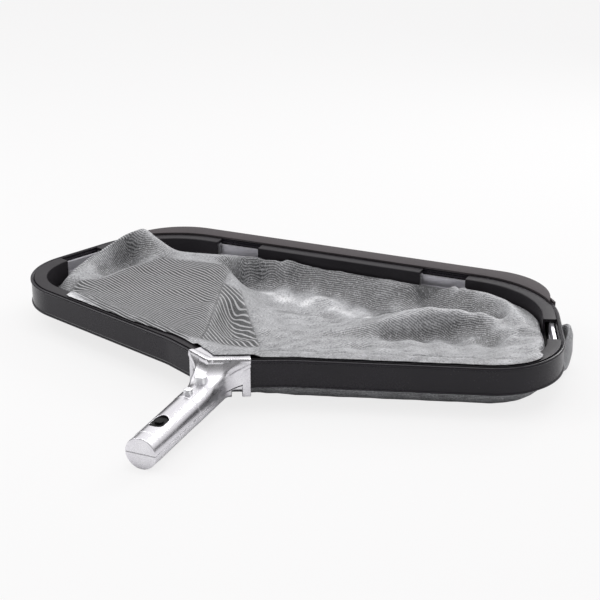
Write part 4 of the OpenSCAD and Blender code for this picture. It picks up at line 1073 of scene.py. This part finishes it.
# Off the panels the cloth is slack and its ribs lie closer, so they show as a fine grain
uv = put("VectorMath", [put("UVMap", uv_map="cloth"), (0.62, 1.45, 1)], operation="MULTIPLY")
soft_edges = []
for panel, (_, across, along) in PANELS.items():
    edge = put("Attribute", output="Fac", attribute_name=panel)
    ways = [put("VectorMath", [spot, way], "Value", operation="DOT_PRODUCT") for way in (along, across)]
    # Sockets 4 and 5 are the vectors A and B of a Mix node, and output 1 is its vector
    uv = put("Mix", {0: put("MapRange", [edge, -0.3, 0.3, 0, 1]), 4: uv, 5: put("CombineXYZ", ways)}, 1,
             data_type="VECTOR")
    soft_edges.append(put("MapRange", [edge, -4, 4, 0, 1]))
taut = functools.reduce(lambda a, b: put("Math", [a, b], operation="MAXIMUM"), soft_edges)
# The ribs wander by up to a millimetre, as knitted cloth does
drift = [put("MapRange", [put("TexNoise", {"Vector": spot, "Scale": 1000 / size}), 0.3, 0.7, -far, far])
         for size, far in ((30, 0.001), (26, 0.0006))]
uv = put("VectorMath", [uv, put("CombineXYZ", drift)], operation="ADD")

# %% Threads and colours of the net
wave = put("TexWave", {"Vector": uv, "Scale": wave_scale(3.4)}, "Fac", bands_direction="Y")
crisp = put("MapRange", [wave, 0.68, 0.94, 0, 1])
dull = put("MapRange", [wave, 0.2, 0.95, 0.1, 0.62])
rib = put("Mix", {0: taut, 2: dull, 3: crisp})
thread = put("TexWave", {"Vector": uv, "Scale": wave_scale(1.25)}, "Fac", bands_direction="X")
thread = put("MapRange", [thread, 0.3, 0.9, 0, 1])
solid = put("Math", [rib, put("MapRange", [thread, 0, 1, 0, 0.7])], operation="MAXIMUM")
raised = put("Math", [rib, put("MapRange", [thread, 0, 1, 0, 0.4])], operation="ADD")

drifts, fuzz, glint_noise = (put("TexNoise", {"Vector": spot, "Scale": 1000 / size, "Detail": detail})
                      for size, detail in ((18, 3), (1.9, 2), (1.5, 2)))
# The painted shade and light of the sheet, read from its pale mark, with a drift at random
painted_tone = put("Math", [put("Attribute", output="Fac", attribute_name="pale"),
                    put("MapRange", [drifts, 0.3, 0.7, -0.35, 0.35])], operation="ADD")
slack = put("MapRange", [taut, 0, 1, 1, 0.3])
dim = put("Math", [slack, put("MapRange", [fuzz, 0.47, 0.66, 0, 0.5])], operation="MULTIPLY")
# Bright specks on the slack cloth are painted glints, placed by a noise
glint = put("Math", [slack, put("MapRange", [glint_noise, 0.55, 0.7, 0, 0.42])], operation="MULTIPLY")
pale = put("MapRange", [painted_tone, -1, 1, 0, 1])
# The ground and the ribs follow the painted tone; the near-black end of the ground is painted shade seen
# through the mesh
ground, bright = (put("Mix", {0: pale, MIX_A: linear(a), MIX_B: linear(b)}, MIXED, data_type="RGBA")
                  for a, b in (("#0c0d0e", "#8f9094"), ("#b4b4b6", "#f4f4f6")))
# Over the ground come the threads, the palest painted tones, the ribs, dim specks, and bright specks that are
# painted glints
tint = ground
for share_of, colour in ((put("MapRange", [thread, 0, 1, 0, 0.3]), linear("#8b8c90")),
                         (put("MapRange", [painted_tone, 0.9, 2, 0, 1]), linear("#dcdcde")),
                         (rib, bright), (dim, linear("#36373a")), (glint, linear("#e4e4e8"))):
    tint = put("Mix", {0: share_of, MIX_A: tint, MIX_B: colour}, MIXED, data_type="RGBA")
set_inputs(shader, {"Base Color": tint, "Roughness": 0.45, "Specular IOR Level": 0.5,
                    "Alpha": put("MapRange", [solid, 0, 1, 0.965, 1]),
                    "Normal": put("Bump", {"Height": raised, "Distance": 0.0002, "Strength": 1.0})})

# %% Hem finish
hem_cloth, put, shader = new_finish("hem_tape")
weave = put("TexWave", {"Vector": put("UVMap", uv_map="cloth"), "Scale": wave_scale(0.9)}, "Fac",
            bands_direction="X")
set_inputs(shader, {
    "Roughness": 0.7,
    "Base Color": put("Mix", {0: put("MapRange", [weave, 0.3, 0.7, 0, 1]), MIX_A: linear("#9c9ca0"),
                              MIX_B: linear("#bdbdc0")}, MIXED, data_type="RGBA"),
    "Normal": put("Bump", {"Height": weave, "Distance": 0.00015, "Strength": 1.0})})

# %% The net
net_piece = add_piece("net_bag_mesh", sheet.reshape(-1, 3), faces, net, "net_bag",
                      np.stack([u, v], -1).reshape(-1, 2) / 1000, sharp=180, closed=False)
# The pale mark holds the painted shade and light of the cloth, and each panel's mark holds the distance to
# its outline
marks = {"pale": painted_shading_at_points, **{panel: inside_by(sheet[..., 0], sheet[..., 1], outline)
                              for panel, (outline, _, _) in PANELS.items()}}
for name, values in marks.items():
    mark = net_piece.data.attributes.new(name, "FLOAT", "POINT")
    mark.data.foreach_set("value", values.astype(np.float32).ravel())
# The pairs of points on the spine become one, and faces without an area go
bm = bmesh.new()
bm.from_mesh(net_piece.data)
bmesh.ops.remove_doubles(bm, verts=bm.verts, dist=1e-7)
bmesh.ops.delete(bm, geom=[v for v in bm.verts if not v.link_faces], context="VERTS")
bm.to_mesh(net_piece.data)
bm.free()
print("net closed in the middle,", len(net_piece.data.vertices), "points")

# %% The hem that holds it
hem_low = rounded([(-HEM_IN, RIM_BASE + 0.2, 0.3), (-BAR_IN - 0.1, RIM_BASE + 0.2, 0.3),
                   (-BAR_IN - 0.1, flange + 9, 0.3), (-HEM_IN, flange + 9, 0.3)], 2)
hem_over = np.concatenate([arc(-BAR_IN + 0.2, BAR_TOP - 0.2, 0.98, 180, 90, 4),
                           arc(-BAR_SET - 0.2, BAR_TOP - 0.2, 0.98, 90, 0, 4),
                           [[-HEM_OUT, rib_low + 6], [-BAR_SET + 0.1, rib_low + 6],
                            [-BAR_SET + 0.1, BAR_TOP + 0.05], [-BAR_IN - 0.1, BAR_TOP + 0.05],
                            [-BAR_IN - 0.1, flange + 8.7], [-HEM_IN, flange + 8.7]]])
windows = [10, SIDE_AT, SIDE_AT + SIDE_WINDOW, BACK_AT + REAR_TAIL, REAR_END]
ends = windows + [2 * HALF - end for end in windows[::-1]]
parts = [carry(hem_low, stations(9.5, 2 * HALF - 9.5))]
parts += [carry(hem_over, stations(a, b)) for a, b in zip(ends[::2], ends[1::2])]
counts = np.cumsum([0] + [len(p[0]) for p in parts])
hem_piece = add_piece("hem_tape", np.concatenate([p[0] for p in parts]),
                      [[i + c for i in f] for p, c in zip(parts, counts) for f in p[1]], hem_cloth,
                      "net_hem", np.concatenate([p[2] for p in parts]), 50)

# %% [markdown]
# ## Floor, light and camera
# A product like this is shot on a white table under soft lamps: a large one at the front left, a small one
# behind, and a strip on top. The floor is a big pale sheet that keeps the object's shadow. The world gives
# even light, with the dark of the room as a soft band just above the table, which is what draws the dark
# stripe along polished metal. The camera sees plain white.

# %% Camera
def aim(thing, at, towards):
    """Puts a camera or a lamp at a drawing point, facing another."""
    at, towards = Vector(place(at)), Vector(place(towards))
    thing.location = at
    thing.rotation_mode = "QUATERNION"
    thing.rotation_quaternion = (towards - at).to_track_quat("-Z", "Y")


# Right of the front and above the table, how far off in millimetres, and the focal length in pixels
AZIMUTH, ELEVATION, DISTANCE, FOCAL_PX = math.radians(24.10), math.radians(21.45), 1418.5, 1418.3
SENSOR_MM, PICTURE_PX = 36, 600
back = np.array([math.sin(AZIMUTH) * math.cos(ELEVATION), -math.cos(AZIMUTH) * math.cos(ELEVATION),
                 math.sin(ELEVATION)])
target = np.array([-14.55, 219.71, 20.0])
camera = add_object("camera", bpy.data.cameras.new("camera"))
camera.data.sensor_width = SENSOR_MM
camera.data.lens = SENSOR_MM * FOCAL_PX / PICTURE_PX
camera.data.clip_start, camera.data.clip_end = 0.05, 50
aim(camera, target + DISTANCE * back, target)
scene.camera = camera
print("camera at", [round(v, 3) for v in camera.location], "lens", round(camera.data.lens, 1))

# %% Floor
def seen_directly(put):
    """1 where the camera looks, straight or through the net, and 0 for the light that falls on things."""
    rays = put("LightPath").node.outputs
    return put("Math", [rays["Is Camera Ray"], rays["Is Transmission Ray"]], operation="MAXIMUM")


floor_white, put, shader = new_finish("white_table")
set_inputs(shader, {"Base Color": (0.79, 0.79, 0.795, 1), "Roughness": 0.9, "Specular IOR Level": 0.1})
# The camera sees the table part lit by itself, which lifts its white and thins the shadow
lifted = put("Math", [seen_directly(put), 0.83], operation="MULTIPLY")
glow = put("Emission", {"Color": (0.965, 0.96, 0.96, 1), "Strength": 1.0})
set_inputs(floor_white.node_tree.nodes["Material Output"],
           {"Surface": put("MixShader", [lifted, shader.outputs[0], glow])})
mesh = bpy.data.meshes.new("table")
mesh.from_pydata([(-6, -6, 0), (6, -6, 0), (6, 6, 0), (-6, 6, 0)], [], [[0, 1, 2, 3]])
mesh.materials.append(floor_white)
table = add_object("table", mesh)
table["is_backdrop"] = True

# %% World
world = bpy.data.worlds.new("studio")
scene.world = world
world.use_nodes = True
world.node_tree.nodes.clear()
put = functools.partial(add_node, world.node_tree)
toward = put("TexCoord", output="Generated")
# The light is strongest above and behind, weakest low in front, and dies away just above the table
lean = put("VectorMath", [toward, (-0.10, 0.45, 0.887)], "Value", operation="DOT_PRODUCT")
sky = put("MapRange", [lean, -0.1, 0.85, 0.22, 1.05], interpolation_type="SMOOTHSTEP")
above = put("VectorMath", [toward, (0.10, 0, 1)], "Value", operation="DOT_PRODUCT")
dusk = put("MapRange", [above, 0.08, 0.26, 0.18, 1], interpolation_type="SMOOTHSTEP")
level = put("Math", [sky, dusk], operation="MULTIPLY")
room = put("Background", {"Color": (1.0, 0.995, 1.0, 1), "Strength": level})
white = put("Background", {"Color": (0.94, 0.935, 0.935, 1), "Strength": 1.0})
put("OutputWorld", [put("MixShader", [seen_directly(put), room, white])])
print("floor and world lit")

# %% Lamps
for name, at, towards, wide, tall, power in (
        ("key_lamp", (-1100, -100, 1150), (0, 100, 20), 0.7, 0.8, 6.5),
        ("rear_lamp", (300, 1200, 700), (0, 60, 20), 0.5, 0.35, 4),
        ("top_lamp", (0, 250, 1500), (0, 120, 20), 0.9, 0.2, 4)):
    lamp = bpy.data.lights.new(name, "AREA")
    lamp.shape, lamp.size, lamp.size_y, lamp.energy = "RECTANGLE", wide, tall, power
    aim(add_object(name, lamp), at, towards)
    print(name, power, "W")
scene.view_settings.view_transform = "Standard"

# %% Sizes of the visual
low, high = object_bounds()
print("visual box", [round(v, 4) for v in low], [round(v, 4) for v in high])
